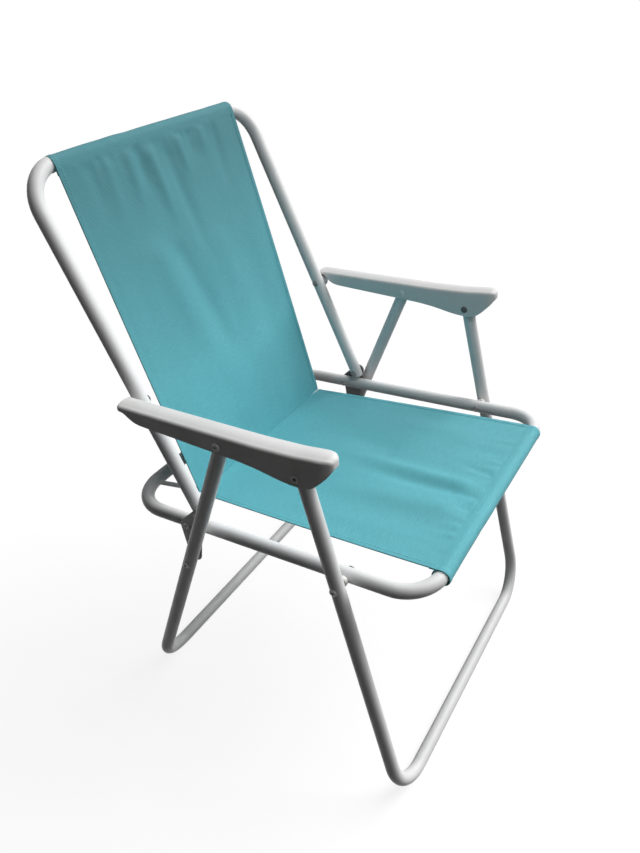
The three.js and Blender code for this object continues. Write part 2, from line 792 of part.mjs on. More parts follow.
// Bracket to post and to seat rail
for (const [name, point] of [['post', bracketPost], ['rail', bracketRail]]) {
  addPair('brackets', `rivet_bracket_${name}`,
    rivetGeometry(plateOutside + gap - postStart, rivetHead, rivetHead, headRise, flatRise),
    bright, postStart, point)
}

// Bracket to rear leg, in two halves that meet between the dish and the leg
const bossHead = bossFlat - bracketPlate / 2 - gap
addPair('brackets', 'rivet_bracket_dish',
  rivetGeometry(bracketPlate + gap, bossHead, 0, flatRise), bright, bossInside - gap, bracketLeg)
addPair('rear_legs', 'rivet_rear_leg',
  rivetGeometry(tubeOuter + gap, 0, rivetHead), bright, legFace, bracketLeg)

// Seat rail to front leg, in two halves that meet between the spacer and the leg
const spacerLength = bossX - plateX
addPair('seat', 'rivet_rail', rivetGeometry(bossX - postStart, rivetHead, 0), bright, postStart, railLeg)
addPair('seat', 'spacer_rail', washerGeometry(spacerLength), nylon, plateX, railLeg)
addPair('front_legs', 'rivet_front_leg',
  rivetGeometry(tubeOuter + gap, 0, rivetHead), bright, legFace, railLeg)

export default group
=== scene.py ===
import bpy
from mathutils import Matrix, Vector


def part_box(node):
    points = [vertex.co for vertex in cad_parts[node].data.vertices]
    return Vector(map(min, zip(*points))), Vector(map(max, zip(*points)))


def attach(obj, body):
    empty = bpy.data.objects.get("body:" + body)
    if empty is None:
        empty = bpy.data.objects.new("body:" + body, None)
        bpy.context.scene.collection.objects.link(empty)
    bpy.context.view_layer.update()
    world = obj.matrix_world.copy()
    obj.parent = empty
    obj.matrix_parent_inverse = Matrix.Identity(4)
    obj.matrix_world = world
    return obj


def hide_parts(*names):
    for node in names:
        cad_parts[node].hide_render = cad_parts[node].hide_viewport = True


bl_info = {
    "name": "Folding sling chair",
    "version": (1, 0, 0),
    "blender": (4, 5, 0),
    "location": "3D View > Sidebar > Sling Chair",
    "description": "Builds the looks of a folding sling chair on its packed frame",
    "category": "Add Mesh",
}

import math
from collections import namedtuple

import bpy
import bmesh
import numpy as np
from mathutils import Matrix, Vector

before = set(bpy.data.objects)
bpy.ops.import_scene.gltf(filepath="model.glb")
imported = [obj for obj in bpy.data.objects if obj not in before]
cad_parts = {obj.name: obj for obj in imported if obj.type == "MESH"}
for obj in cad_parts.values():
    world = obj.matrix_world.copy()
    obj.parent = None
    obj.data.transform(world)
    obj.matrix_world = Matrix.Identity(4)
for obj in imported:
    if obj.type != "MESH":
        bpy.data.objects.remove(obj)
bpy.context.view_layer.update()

# Places in side view, as (y, z) in metres
TOP_BAR = (0.323806, 0.892604)
POST_END = (0.064195, 0.412463)
FRONT_BAR = (-0.308395, 0.445182)
REAR_BAR = (0.221765, 0.372415)
CREASE = (0.120320, 0.390780)
REAR_LEG_TOP = (-0.012203, 0.615084)
REAR_FLOOR = (0.178100, 0.010789)
FRONT_LEG_TOP = (-0.130233, 0.615564)
FRONT_FLOOR = (-0.325596, 0.010789)

POST_PIVOT = (0.161, 0.5915)
REAR_LEG_PIVOT = (-0.0095, 0.6065)
FRONT_LEG_PIVOT = (-0.133, 0.607)

# The armrest in side view, as (ahead of the post pivot, height over the line of the pivots): its top
# and the lower edge of its skirts
ARM_TOP = (
    (-0.0075, 0.0155), (0.0855, 0.0200), (0.1711, 0.0246), (0.2327, 0.0278), (0.2944, 0.0334),
    (0.3199, 0.0378), (0.3454, 0.0406),
)
ARM_LOW = (
    (-0.0075, 0.0090), (0.0062, 0.0076), (0.0110, 0.0048), (0.0160, 0.0012), (0.0220, -0.0021),
    (0.0290, -0.0040), (0.0360, -0.0048), (0.2050, -0.0048), (0.2150, -0.0053), (0.2330, -0.0065),
    (0.2470, -0.0083), (0.2620, -0.0105), (0.2760, -0.0121), (0.2880, -0.0126), (0.3020, -0.0121),
    (0.3120, -0.0100), (0.3190, -0.0058), (0.3260, 0.0010), (0.3330, 0.0088), (0.3400, 0.0170),
    (0.3454, 0.0262),
)
ARM_INNER_SIDE = 0.2605
ARM_HALF = 0.0159
ARM_SKIN = 0.0026
ARM_CORNER = 0.006
ARM_CORNER_DEPTH = 0.0045
ARM_CROWN = 0.0012
NOSE_CORNER = 0.020
NOSE_NARROWING = 0.0125
NOSE_ROUND = (0.0100, 0.0075)
TAIL_CORNER = 0.007
EAR_RADIUS = 0.0125
ARM_LEAN = math.atan2(POST_PIVOT[1] - FRONT_LEG_PIVOT[1], POST_PIVOT[0] - FRONT_LEG_PIVOT[0])

# Sizes across the chair, in metres
FRAME_HALF = 0.2475
LEG_HALF = 0.2764
ROD_HALF = 0.173
TUBE_RADIUS = 0.011
TUBE_WALL = 0.0012
ROD_RADIUS = 0.004
SLING_GAP = 0.0007
TOP_BEND = 0.058
FRONT_BEND = 0.054
REAR_BEND = 0.068
LEG_BEND = 0.070
ROD_BEND = 0.014

# Folds of the cloth: where each starts and ends along the panel, where it runs across the panel
# at its start and at its end, its width, and its height as a share of the ripple
BACK_FOLDS = (
    (0.009, 0.150, -0.026, -0.018, 0.0100, -2.40),
    (0.009, 0.230, 0.010, 0.026, 0.0110, 1.90),
    (0.009, 0.095, 0.042, 0.046, 0.0085, -1.80),
    (0.009, 0.070, 0.073, 0.071, 0.0080, 1.30),
    (0.009, 0.065, 0.101, 0.099, 0.0080, -1.30),
    (0.009, 0.130, 0.132, 0.126, 0.0110, 1.40),
    (0.009, 0.110, -0.068, -0.075, 0.0090, -1.80),
    (0.009, 0.090, -0.048, -0.050, 0.0080, 1.50),
    (0.009, 0.130, -0.112, -0.124, 0.0110, -1.30),
    (0.009, 0.110, -0.145, -0.150, 0.0100, 1.00),
    (0.150, 0.420, -0.040, 0.012, 0.0160, 1.70),
    (0.130, 0.450, -0.085, -0.030, 0.0220, -1.90),
    (0.160, 0.430, 0.060, 0.085, 0.0260, -1.00),
    (0.200, 0.470, 0.120, 0.110, 0.0240, 0.90),
)
SEAT_FOLDS = (
    (0.009, 0.310, -0.004, 0.016, 0.0120, 2.60),
    (0.026, 0.250, -0.026, -0.020, 0.0110, -2.40),
    (0.009, 0.300, -0.068, -0.078, 0.0190, 2.60),
    (0.009, 0.200, -0.115, -0.120, 0.0200, -1.00),
    (0.060, 0.330, 0.140, 0.130, 0.0260, 1.20),
    (0.180, 0.340, 0.052, 0.060, 0.0180, -1.50),
    (0.009, 0.080, 0.036, 0.048, 0.0065, -0.95),
    (0.009, 0.060, -0.030, -0.024, 0.0060, -0.85),
    (0.009, 0.055, 0.070, 0.074, 0.0060, 0.65),
    (0.009, 0.050, -0.062, -0.060, 0.0055, -0.50),
    (0.009, 0.140, 0.095, 0.092, 0.0140, -0.60),
)

# Fasteners, in metres
RIVET_RADIUS = 0.003
RIVET_HEAD = 0.006
RIVET_EYE = 0.0021
WASHER_RADIUS = 0.008
HOLE_RADIUS = 0.0033

# Rows and columns of the cloth's mesh
CLOTH_COLUMNS = 190
BACK_ROWS = 170
SEAT_ROWS = 150
SLEEVE_STEPS = 20
POCKET_STEPS = 14
FLAT_STEPS = 4
HEM_ROWS = FLAT_STEPS + 1

# Hems, the pocket of the tie rod and the stitching, in metres; a gap is a share of a stitch
CLOTH_GAP = 0.0003
HEM_SLOPE = 0.0015
HEM_FADE = 0.006
POCKET_SEAM = 0.016
POCKET_LAP = 0.010
POCKET_GAP = 0.0005
BACK_STITCH_END = 0.016
SEAT_STITCH_END = 0.018
STITCH_GAP = 0.45
STITCH_INSET = 0.0012
STITCH_RISE = 0.00012
ROW_START = 0.002

# Ripples, in metres: depth and width of the groove along a seam, height, place and width of the roll
# at the crease, and how far the calm parts reach in from the sides and the crease
GROOVE = (0.0005, 0.0016)
ROLL = (0.0006, 0.004, 0.003)
CALM_SIDE = 0.028
CALM_CREASE = 0.035

# Gathers at the seam and the broad swell of the cloth: share of the ripple's height, pitch across, and
# pitch along for the gathers or waves along the whole run for the swell
GATHERS = (0.6, 0.0105, 0.05)
GATHERS_FADE = 0.022
SWELL = (0.5, 0.034, 2.2)
SWELL_START = (7.3, 4.1)
SWELL_FADE = 0.06
FOLDS_SHARE = 0.85
FOLD_SPREAD = 1.15
SEAM_FADE = 0.005

# Armrest mesh: rows in each round corner, distance of the other rows, smoothing of its two lines, the
# round of its tail and how far a drill stands out
CORNER_ROWS = 10
ARM_PITCH = 0.0045
TOP_SMOOTHING = 24
LOW_SMOOTHING = 5
TAIL_ROUND = (0.001, 0.0008)
DRILL_PAST = 0.004

# Faces round the small pieces, and how wide and from which angle in degrees edges are rounded
STITCH_SIDES = 6
RIVET_SIDES = 24
WASHER_SIDES = 32
EAR_SIDES = 48
ARM_EDGE = 0.0006
ARM_EDGE_ANGLE = 50
EAR_EDGE = (0.0006, 0.0004)
BRACKET_EDGE = 0.0003
RIVET_EDGE = 0.0003
WASHER_EDGE = 0.0004

# Angles in degrees up to which faces are shaded as one
TUBE_ANGLE = 40
CLOTH_ANGLE = 60
RIVET_ANGLE = 45
WASHER_ANGLE = 50
ARM_ANGLE = 38
BRACKET_ANGLE = 32
FLAT_ANGLE = 1.5

# Distances in metres below which vertices are merged, or count as in one ring or row
MERGE = 1e-5
FINE_MERGE = 1e-6
RING_REACH = 1e-4
ROW_REACH = 2e-5

SIDES = ("left", "right")
ACROSS = (1, 0, 0)

# Camera: its place in metres, its angles in degrees, its lens and how far the picture is shifted
CAMERA_PLACE = (-0.87853, -0.51245, 1.18885)
CAMERA_TURN = -59.68
CAMERA_RISE = 35.8
CAMERA_ROLL = 1.26
CAMERA_LENS = 30.843
CAMERA_SHIFT = (-0.00193, 0.00209)

# Lamps: where the main lamp shines from, how wide it is, and the place and size of the soft lamp
MAIN_FROM = (0.67, -0.31, 0.675)
MAIN_SPREAD = 46
SOFT_PLACE = (-0.05, -0.55, 1.5)
SOFT_TARGET = (0, 0, 0.4)
SOFT_SIZE = 0.8


def place(x, point):
    """A place in the room, from its distance across the chair and its point in side view."""
    return Vector((x, point[0], point[1]))


# Steps that the pieces share


def make_active(piece):
    """Selects one piece alone, for the operators that follow."""
    bpy.ops.object.select_all(action="DESELECT")
    piece.select_set(True)
    bpy.context.view_layer.objects.active = piece


def add_object(name, data):
    piece = bpy.data.objects.new(name, data)
    bpy.context.scene.collection.objects.link(piece)
    return piece


def start_edit():
    """Starts to edit the active piece, with all of it selected."""
    bpy.ops.object.mode_set(mode="EDIT")
    bpy.ops.mesh.select_mode(type="VERT")
    bpy.ops.mesh.select_all(action="SELECT")


def end_edit(merge=0):
    """Merges what lies nearer than merge, turns the faces outwards and ends the edit."""
    bpy.ops.mesh.select_all(action="SELECT")
    if merge:
        bpy.ops.mesh.remove_doubles(threshold=merge)
    bpy.ops.mesh.normals_make_consistent(inside=False)
    bpy.ops.object.mode_set(mode="OBJECT")


def extrude(step):
    bpy.ops.mesh.extrude_region_move(TRANSFORM_OT_translate={"value": step})


def select_where(piece, rule):
    """Selects those vertices of the edited piece for which a rule holds."""
    mesh_edit = bmesh.from_edit_mesh(piece.data)
    for vertex in mesh_edit.verts:
        vertex.select = rule(vertex)
    mesh_edit.select_flush_mode()
    bmesh.update_edit_mesh(piece.data)


def apply_modifier(piece, kind, **values):
    make_active(piece)
    modifier = piece.modifiers.new(kind, kind)
    for name, value in values.items():
        setattr(modifier, name, value)
    bpy.ops.object.modifier_apply(modifier=modifier.name)


def add_wall(piece, wall):
    """Gives a skin its wall, on the inside."""
    apply_modifier(piece, "SOLIDIFY", thickness=wall, offset=-1)


def round_edges(piece, width, degrees):
    """Rounds the edges that turn by more than an angle."""
    apply_modifier(
        piece, "BEVEL", width=width, segments=2, limit_method="ANGLE", angle_limit=math.radians(degrees)
    )


def join_shapes(piece, tool, operation):
    """Joins a tool shape to a piece, or cuts it out, and removes the tool."""
    apply_modifier(piece, "BOOLEAN", operation=operation, solver="EXACT", object=tool)
    bpy.data.objects.remove(tool)


def shade_smooth(piece, degrees):
    make_active(piece)
    bpy.ops.object.shade_smooth_by_angle(angle=math.radians(degrees))


def start_ring(name, centre, direction, radius, sides):
    """Adds the first ring of a round piece at its end."""
    bpy.ops.object.select_all(action="DESELECT")
    bpy.ops.mesh.primitive_circle_add(
        vertices=sides, radius=radius, fill_type="NOTHING",
        location=centre, rotation=direction.to_track_quat("Z", "Y").to_euler(),
    )
    piece = bpy.context.object
    piece.name = name
    piece.data.name = name
    bpy.ops.object.transform_apply(location=True, rotation=True, scale=True)
    return piece


def turned_piece(name, centre, direction, profile, sides, ring=False):
    """Turns a small round part: a circle is extruded and scaled along (radius, distance) from centre.
    A ring closes on itself; another part is filled at both ends."""
    centre = Vector(centre)
    direction = Vector(direction)
    radius, far = profile[0]
    piece = start_ring(name, centre + direction * far, direction, radius, sides)
    start_edit()
    if not ring:
        bpy.ops.mesh.edge_face_add()
    for after, further in profile[1:]:
        extrude(direction * (further - far))
        scale = after / radius
        bpy.ops.transform.resize(value=(1, scale, scale), center_override=centre + direction * further)
        radius, far = after, further
    end_edit(FINE_MERGE)
    return piece


# Tubes


def ring_rule(centre, normal):
    """The rule for the vertices of one ring of a tube: near its centre, in the plane across the tube."""
    def on_ring(vertex):
        offset = vertex.co - centre
        return abs(offset.dot(normal)) < RING_REACH and offset.length < TUBE_RADIUS * 1.5

    return on_ring


def bend_tube(name, points, bends, tube, closed=False):
    """Models a tube as a bender does: straight runs are extruded and each corner is spun round its
    centre. Spin turns the other way with no window, so it gets the opposite axis."""
    start = points[0]
    if closed:
        points = points + points[:2]
        start = (points[0] + points[1]) / 2
    here = start
    heading = (points[1] - start).normalized()
    piece = start_ring(name, start, heading, TUBE_RADIUS, tube.sides)
    start_edit()
    for bend, corner, beyond in zip(bends, points[1:], points[2:]):
        after = (beyond - corner).normalized()
        turn = heading.angle(after)
        run = (corner - here).dot(heading) - bend * math.tan(turn / 2)
        extrude(heading * run)
        here = here + heading * run
        inward = (after - heading * heading.dot(after)).normalized()
        centre = here + inward * bend
        axis = heading.cross(inward)
        bpy.ops.mesh.spin(steps=tube.bend_steps, angle=turn, center=centre, axis=-axis)
        here = centre + (Matrix.Rotation(turn, 3, axis) @ (here - centre))
        heading = after
        select_where(piece, ring_rule(here, heading))
    last = start if closed else points[-1]
    extrude(last - here)
    end_edit(MERGE)
    return piece


# Cloth


def panel_line(bar, round_radius, crease_side, turn):
    """The straight line in side view that a panel keeps from its bar to the crease, and its upper side."""
    direct = np.subtract(CREASE, bar)
    reach = np.linalg.norm(direct)
    direct = direct / reach
    lean = turn * math.acos((round_radius - crease_side) / reach)
    upper = np.array([
        direct[0] * math.cos(lean) - direct[1] * math.sin(lean),
        direct[0] * math.sin(lean) + direct[1] * math.cos(lean),
    ])
    ahead = np.array([-upper[1], upper[0]]) * -turn
    return ahead, upper


def sleeve_line(round_radius, seam, hem, lap, steps):
    """A sleeve in side view, from its hem round the bar to the upper side, as (away, up) from the
    bar's centre."""
    under = round_radius - lap
    start = math.atan2(under, seam) - math.acos(round_radius / math.hypot(seam, under))
    turn = 3 * math.pi / 2 + start
    lower = (round_radius * math.cos(start), round_radius * math.sin(start))
    shares = [k / FLAT_STEPS for k in range(FLAT_STEPS)]
    line = [(seam + hem * (1 - share), under) for share in shares] + [(seam, under)]
    for share in shares[1:]:
        line.append((seam + (lower[0] - seam) * share, under + (lower[1] - under) * share))
    for k in range(steps + 1):
        angle = start - turn * k / steps
        line.append((round_radius * math.cos(angle), round_radius * math.sin(angle)))
    return line


def smooth_step(value):
    value = min(max(value, 0.0), 1.0)
    return value * value * (3 - 2 * value)


def bell(value, width):
    return math.exp(-(value / width) ** 2)


WAVES = np.random.default_rng(23).uniform(-1, 1, (64, 64))


def drift(across, along):
    """Smooth uneven waves between -1 and 1, the same in each run."""
    column = math.floor(across)
    row = math.floor(along)
    side = smooth_step(across - column)
    down = smooth_step(along - row)
    wide = len(WAVES)
    first, after = WAVES[row % wide], WAVES[(row + 1) % wide]
    column, beside = column % wide, (column + 1) % wide
    first = first[column] * (1 - side) + first[beside] * side
    after = after[column] * (1 - side) + after[beside] * side
    return first * (1 - down) + after * down


def fold_height(fold, away, x):
    """How far one soft fold lifts the cloth at a place."""
    start, end, first, last, width, height = fold
    share = (away - start) / (end - start)
    if share <= 0 or share >= 1:
        return 0.0
    fade = smooth_step(share / 0.15) * smooth_step((1 - share) / 0.6)
    return height * fade * bell(x - first - (last - first) * share, width * FOLD_SPREAD)


def hem_share(cloth, half, x):
    """1 on a side hem, 0 on the open cloth, with a soft step between."""
    return smooth_step((cloth.hem_width - half + abs(x)) / HEM_SLOPE + 0.5)


def sleeve_bag(share, x, half, ease):
    """How far the loose sleeve stands off its bar: most at its near end, uneven along it."""
    round_share = math.sin(math.pi * min(max(share, 0), 1))
    return round_share * ease * (0.35 + 0.9 * bell(x + half, 0.05) + 0.3 * drift(x / 0.03 + 2.5, 8.5))


def bend_clearance(x, bend):
    """How far the cloth of a sleeve must stay back where its bar starts to bend."""
    past = max(abs(x) - (FRAME_HALF - bend), 0)
    return bend - math.sqrt(bend ** 2 - past ** 2)


class Panel:
    """One panel of the sling: the sleeve round its bar and a straight run from there to the crease."""

    def __init__(self, cloth, bar, bend, turn, crease_side, short, folds, sag, ease):
        self.cloth = cloth
        self.bar = np.array(bar)
        self.bend = bend
        self.folds = folds
        self.sag = sag
        self.ease = ease
        self.radius = TUBE_RADIUS + SLING_GAP + cloth.thickness / 2
        self.ahead, self.upper = panel_line(bar, self.radius, crease_side, turn)
        self.reach = float(np.dot(np.subtract(CREASE, bar), self.ahead)) - short

    def half(self, away):
        return self.cloth.half_width - self.cloth.waist * min(max(away / self.reach, 0), 1) ** 1.5

    def point(self, away, out):
        return self.bar + self.ahead * away + self.upper * (self.radius + out)

    def lift(self, away, x):
        """Height of the run over its plane: gathers at the seam, folds, waves and the sag of use."""
        seam = self.cloth.seam
        past = away - seam
        groove = -GROOVE[0] * bell(past, GROOVE[1])
        if past <= 0:
            return groove
        way = past / (self.reach - seam)
        half = self.half(away)
        calm = smooth_step((half - abs(x)) / CALM_SIDE) * 0.75 + 0.25
        close = smooth_step((self.reach - away) / CALM_CREASE)
        share, pitch, along = GATHERS
        gathers = share * math.exp(-past / GATHERS_FADE) * drift(x / pitch, past / along)
        share, pitch, along = SWELL
        swell = share * drift(x / pitch + SWELL_START[0], way * along + SWELL_START[1])
        swell *= smooth_step(past / SWELL_FADE)
        folds = FOLDS_SHARE * sum(fold_height(fold, away, x) for fold in self.folds)
        begin = smooth_step(past / SEAM_FADE)
        sag = self.sag * 4 * way * (1 - way) * (1 - (x / half) ** 2)
        roll = ROLL[0] * bell(self.reach - away - ROLL[1], ROLL[2])
        return groove + self.cloth.ripple * begin * calm * close * (gathers + swell + folds) - sag + roll

    def surface(self, away, x):
        """The place of a thread on top of the cloth."""
        hem = self.cloth.hem_extra * hem_share(self.cloth, self.half(away), x)
        y, z = self.point(away, self.lift(away, x) + self.cloth.thickness / 2 + hem / 2)
        return Vector((x, y, z))


def cloth_sheet(name, cloth, stations, half_at, lift, slide, hem_at):
    """A woven panel as a closed sheet. stations are its middle line in side view, from one end to the
    other. Its UV map is in metres along and across the cloth."""
    line = np.array(stations)
    rows = len(line)
    before = np.vstack([line[:1], line[:-1]])
    after = np.vstack([line[1:], line[-1:]])
    along = after - before
    along /= np.linalg.norm(along, axis=1)[:, None]
    normals = np.column_stack([-along[:, 1], along[:, 0]])
    lengths = np.concatenate([[0], np.cumsum(np.linalg.norm(np.diff(line, axis=0), axis=1))])
    vertices = []
    uvs = []
    for face in (1, -1):
        for i in range(rows):
            half = half_at(i)
            for j in range(CLOTH_COLUMNS + 1):
                x = half * (2 * (j / CLOTH_COLUMNS) - 1)
                hem = hem_at(i) * hem_share(cloth, half, x)
                out = lift(i, x) + face * (cloth.thickness / 2 + hem / 2)
                y, z = line[i] + normals[i] * out + slide(i, x)
                vertices.append((x, y, z))
                uvs.append((0.25 + x, lengths[i]))
    wide = CLOTH_COLUMNS + 1
    under = rows * wide
    faces = []
    for i in range(rows - 1):
        for j in range(CLOTH_COLUMNS):
            a = i * wide + j
            b = a + wide
            faces.append((a, a + 1, b + 1, b))
            faces.append((under + a, under + b, under + b + 1, under + a + 1))
    rim = [(i * wide, (i - 1) * wide) for i in range(1, rows)]
    rim += [(i * wide - 1, (i + 1) * wide - 1) for i in range(1, rows)]
    rim += [(j, j + 1) for j in range(CLOTH_COLUMNS)]
    rim += [(under - wide + j + 1, under - wide + j) for j in range(CLOTH_COLUMNS)]
    faces += [(a, under + a, under + b, b) for a, b in rim]
    mesh = bpy.data.meshes.new(name)
    mesh.from_pydata(vertices, [], faces)
    layer = mesh.uv_layers.new(name="cloth")
    for loop in mesh.loops:
        layer.data[loop.index].uv = uvs[loop.vertex_index]
    piece = add_object(name, mesh)
    make_active(piece)
    start_edit()
    end_edit()
    return piece


def sling_piece(name, panel, rows, body, node, pocket=()):
    """Makes a panel with its sleeve. pocket holds the places in side view of a pocket at its far end."""
    cloth = panel.cloth
    lap = cloth.thickness + CLOTH_GAP
    sleeve = sleeve_line(panel.radius, cloth.seam, cloth.hem_lap, lap, SLEEVE_STEPS)
    start = len(sleeve)
    end = start + rows
    aways = [away for away, _ in sleeve] + [panel.reach * k / rows for k in range(1, rows + 1)]
    stations = [panel.bar + panel.ahead * away + panel.upper * up for away, up in sleeve]
    stations += [panel.point(away, 0) for away in aways[start:]]
    stations += pocket

    def half_at(i):
        if i >= end:
            return ROD_HALF - ROD_BEND - CLOTH_GAP
        return panel.half(aways[i] if i >= start else 0)

    def lift(i, x):
        if i >= end:
            return 0.0
        if i >= start:
            return panel.lift(aways[i], x)
        if i < HEM_ROWS:
            return -panel.lift(aways[i], x)
        return sleeve_bag((i - HEM_ROWS) / (start - HEM_ROWS), x, cloth.half_width, panel.ease)

    def slide(i, x):
        if i < HEM_ROWS - 2 or i >= start:
            return panel.ahead * 0.0
        return panel.ahead * bend_clearance(x, panel.bend)

    def hem_at(i):
        if i >= end:
            return 0.0
        if i < start:
            return cloth.hem_extra
        return cloth.hem_extra * smooth_step((panel.reach - aways[i]) / HEM_FADE)

    piece = cloth_sheet(name, cloth, stations, half_at, lift, slide, hem_at)
    shade_smooth(piece, CLOTH_ANGLE)
    wear(piece, "coated_weave", body, node)
    return piece


# Stitching


def stitch(name, length, radius):
    """Models one stitch: a short thread, round and drawn in at both ends, along the X axis."""
    profile = [(radius * 0.35, -length / 2), (radius * 0.85, -length * 0.4), (radius, -length * 0.2),
               (radius, length * 0.2), (radius * 0.85, length * 0.4), (radius * 0.35, length / 2)]
    return turned_piece(name, (0, 0, 0), ACROSS, profile, STITCH_SIDES)


def stitch_turn(panel, first, second):
    """The matrix that lays a stitch on a panel between two places."""
    along = (second - first).normalized()
    side = Vector((0, *panel.upper)).cross(along).normalized()
    up = along.cross(side)
    turn = Matrix((along, side, up)).transposed().to_4x4()
    turn.translation = (first + second) / 2 + up * STITCH_RISE
    return turn


def spots_along(start, end, length, place_of):
    """Places of the two ends of each stitch between start and end."""
    count = int((end - start) / (length + length * STITCH_GAP))
    step = (end - start) / count
    spots = []
    for k in range(count):
        spots.append((place_of(start + step * k), place_of(start + step * k + length)))
    return spots


def sew_panel(name, panel, last, body):
    """Sews the two side hems and the sleeve seam of a panel with copies of one stitch, and joins them."""
    cloth = panel.cloth
    inset = cloth.hem_width - STITCH_INSET
    spots = []
    for side in (-1, 1):
        spots += spots_along(
            cloth.seam + ROW_START, last, cloth.stitch,
            lambda away, side=side: panel.surface(away, side * (panel.half(away) - inset)),
        )
    half = panel.half(cloth.seam) - ROW_START
    spots += spots_along(-half, half, cloth.stitch, lambda x: panel.surface(cloth.seam, x))
    model = stitch("stitch_model", cloth.stitch, cloth.thread_radius)
    seam = bmesh.new()
    for first, second in spots:
        copy = model.data.copy()
        copy.transform(stitch_turn(panel, first, second))
        seam.from_mesh(copy)
        bpy.data.meshes.remove(copy)
    bpy.data.objects.remove(model)
    mesh = bpy.data.meshes.new(name)
    seam.to_mesh(mesh)
    seam.free()
    piece = add_object(name, mesh)
    shade_smooth(piece, CLOTH_ANGLE)
    wear(piece, "sewing_thread", body)
    return piece


# Finishes


def shade(colour, factor):
    """A colour made darker or paler."""
    return tuple(min(channel * factor, 1) for channel in colour)


class Nodes:
    """The nodes of a finish or of the room, with short ways to add and join them."""

    def __init__(self, owner, shader):
        owner.use_nodes = True
        self.tree = owner.node_tree
        self.shader = self.tree.nodes[shader]

    def feed(self, node, values):
        """Gives a node's inputs their values, or links them where the value is another node's output."""
        for name, value in values.items():
            if isinstance(value, bpy.types.NodeSocket):
                self.tree.links.new(value, node.inputs[name])
            else:
                node.inputs[name].default_value = value

    def add(self, kind, values, **options):
        node = self.tree.nodes.new(kind)
        for name, value in options.items():
            setattr(node, name, value)
        self.feed(node, values)
        return node

    def surface(self, **values):
        """Sets inputs of the shader itself, named with _ for a space."""
        self.feed(self.shader, {name.replace("_", " "): value for name, value in values.items()})

    def place(self):
        return self.add("ShaderNodeTexCoord", {}).outputs["Object"]

    def noise(self, vector, scale, detail, roughness):
        values = {"Vector": vector, "Scale": scale, "Detail": detail, "Roughness": roughness}
        return self.add("ShaderNodeTexNoise", values).outputs["Fac"]

    def remap(self, value, from_low, from_high, to_low, to_high):
        values = {
            "Value": value, "From Min": from_low, "From Max": from_high, "To Min": to_low, "To Max": to_high,
        }
        return self.add("ShaderNodeMapRange", values).outputs["Result"]

    def blend(self, factor, low, high):
        """Blends two colours, each plain or another blend."""
        values = {"Factor": factor}
        for name, colour in (("A", low), ("B", high)):
            values[name] = colour if isinstance(colour, bpy.types.NodeSocket) else (*colour, 1)
        return self.add("ShaderNodeMix", values, data_type="RGBA").outputs["Result"]

    def combine(self, operation, first, second):
        return self.add("ShaderNodeMath", {0: first, 1: second}, operation=operation).outputs[0]

    def bands(self, vector, pitch, direction):
        values = {"Vector": vector, "Scale": math.pi / 10 / pitch}
        options = {"wave_type": "BANDS", "bands_direction": direction}
        return self.add("ShaderNodeTexWave", values, **options).outputs["Fac"]

    def relief(self, height, distance, strength):
        """Raises the surface a little where height is large."""
        values = {"Height": height, "Distance": distance, "Strength": strength}
        self.surface(Normal=self.add("ShaderNodeBump", values).outputs["Normal"])

    def clouds(self, noise, low=0.3, high=0.7, to_low=0, to_high=1):
        """Soft clouds of a noise, as a share between two values."""
        return self.remap(noise, low, high, to_low, to_high)

    def seen(self):
        """1 for rays by which the camera sees a thing, also in gloss or through glass, and the rays."""
        rays = self.add("ShaderNodeLightPath", {}).outputs
        seen = self.combine("MAXIMUM", rays["Is Camera Ray"], rays["Is Glossy Ray"])
        return self.combine("MAXIMUM", seen, rays["Is Transmission Ray"]), rays


def new_finish(name):
    return Nodes(bpy.data.materials.new(name), "Principled BSDF")


def painted_tube(name, colour):
    paint = new_finish(name)
    spot = paint.place()
    dust = paint.clouds(paint.noise(spot, 14, 4, 0.6), low=0.35)
    paint.surface(
        Base_Color=paint.blend(dust, colour, shade(colour, 0.93)),
        Roughness=paint.clouds(paint.noise(spot, 60, 3, 0.5), to_low=0.30, to_high=0.42),
        Specular_IOR_Level=0.22,
    )
    paint.relief(paint.noise(spot, 420, 2, 0.5), 0.00012, 0.25)


def moulded_plastic(name, colour):
    plastic = new_finish(name)
    spot = plastic.place()
    wear_marks = plastic.clouds(plastic.noise(spot, 18, 5, 0.65), high=0.75)
    plastic.surface(
        Base_Color=plastic.blend(wear_marks, colour, shade(colour, 0.9)),
        Roughness=plastic.clouds(plastic.noise(spot, 35, 3, 0.6), to_low=0.42, to_high=0.58),
        Specular_IOR_Level=0.25,
    )
    grain = plastic.combine("ADD", plastic.noise(spot, 900, 2, 0.5), plastic.noise(spot, 120, 2, 0.5))
    plastic.relief(grain, 0.0002, 0.22)


def plated_metal(name, colour, rough, metallic):
    metal = new_finish(name)
    spot = metal.place()
    dull = metal.clouds(metal.noise(spot, 90, 4, 0.6))
    metal.surface(
        Base_Color=metal.blend(dull, colour, shade(colour, 0.75)),
        Roughness=metal.clouds(metal.noise(spot, 160, 3, 0.6), to_low=rough, to_high=rough + 0.15),
        Metallic=metallic,
    )
    metal.relief(metal.noise(spot, 700, 2, 0.5), 0.00008, 0.2)


def plain_nylon(name, colour):
    nylon = new_finish(name)
    spot = nylon.place()
    milky = nylon.clouds(nylon.noise(spot, 70, 3, 0.5))
    nylon.surface(Base_Color=nylon.blend(milky, colour, shade(colour, 0.9)), Roughness=0.5)
    nylon.relief(nylon.noise(spot, 500, 2, 0.5), 0.0001, 0.2)


def sewing_thread(name, colour):
    thread = new_finish(name)
    twist = thread.clouds(thread.noise(thread.place(), 2500, 2, 0.5))
    thread.surface(Base_Color=thread.blend(twist, colour, shade(colour, 0.7)), Roughness=0.6)


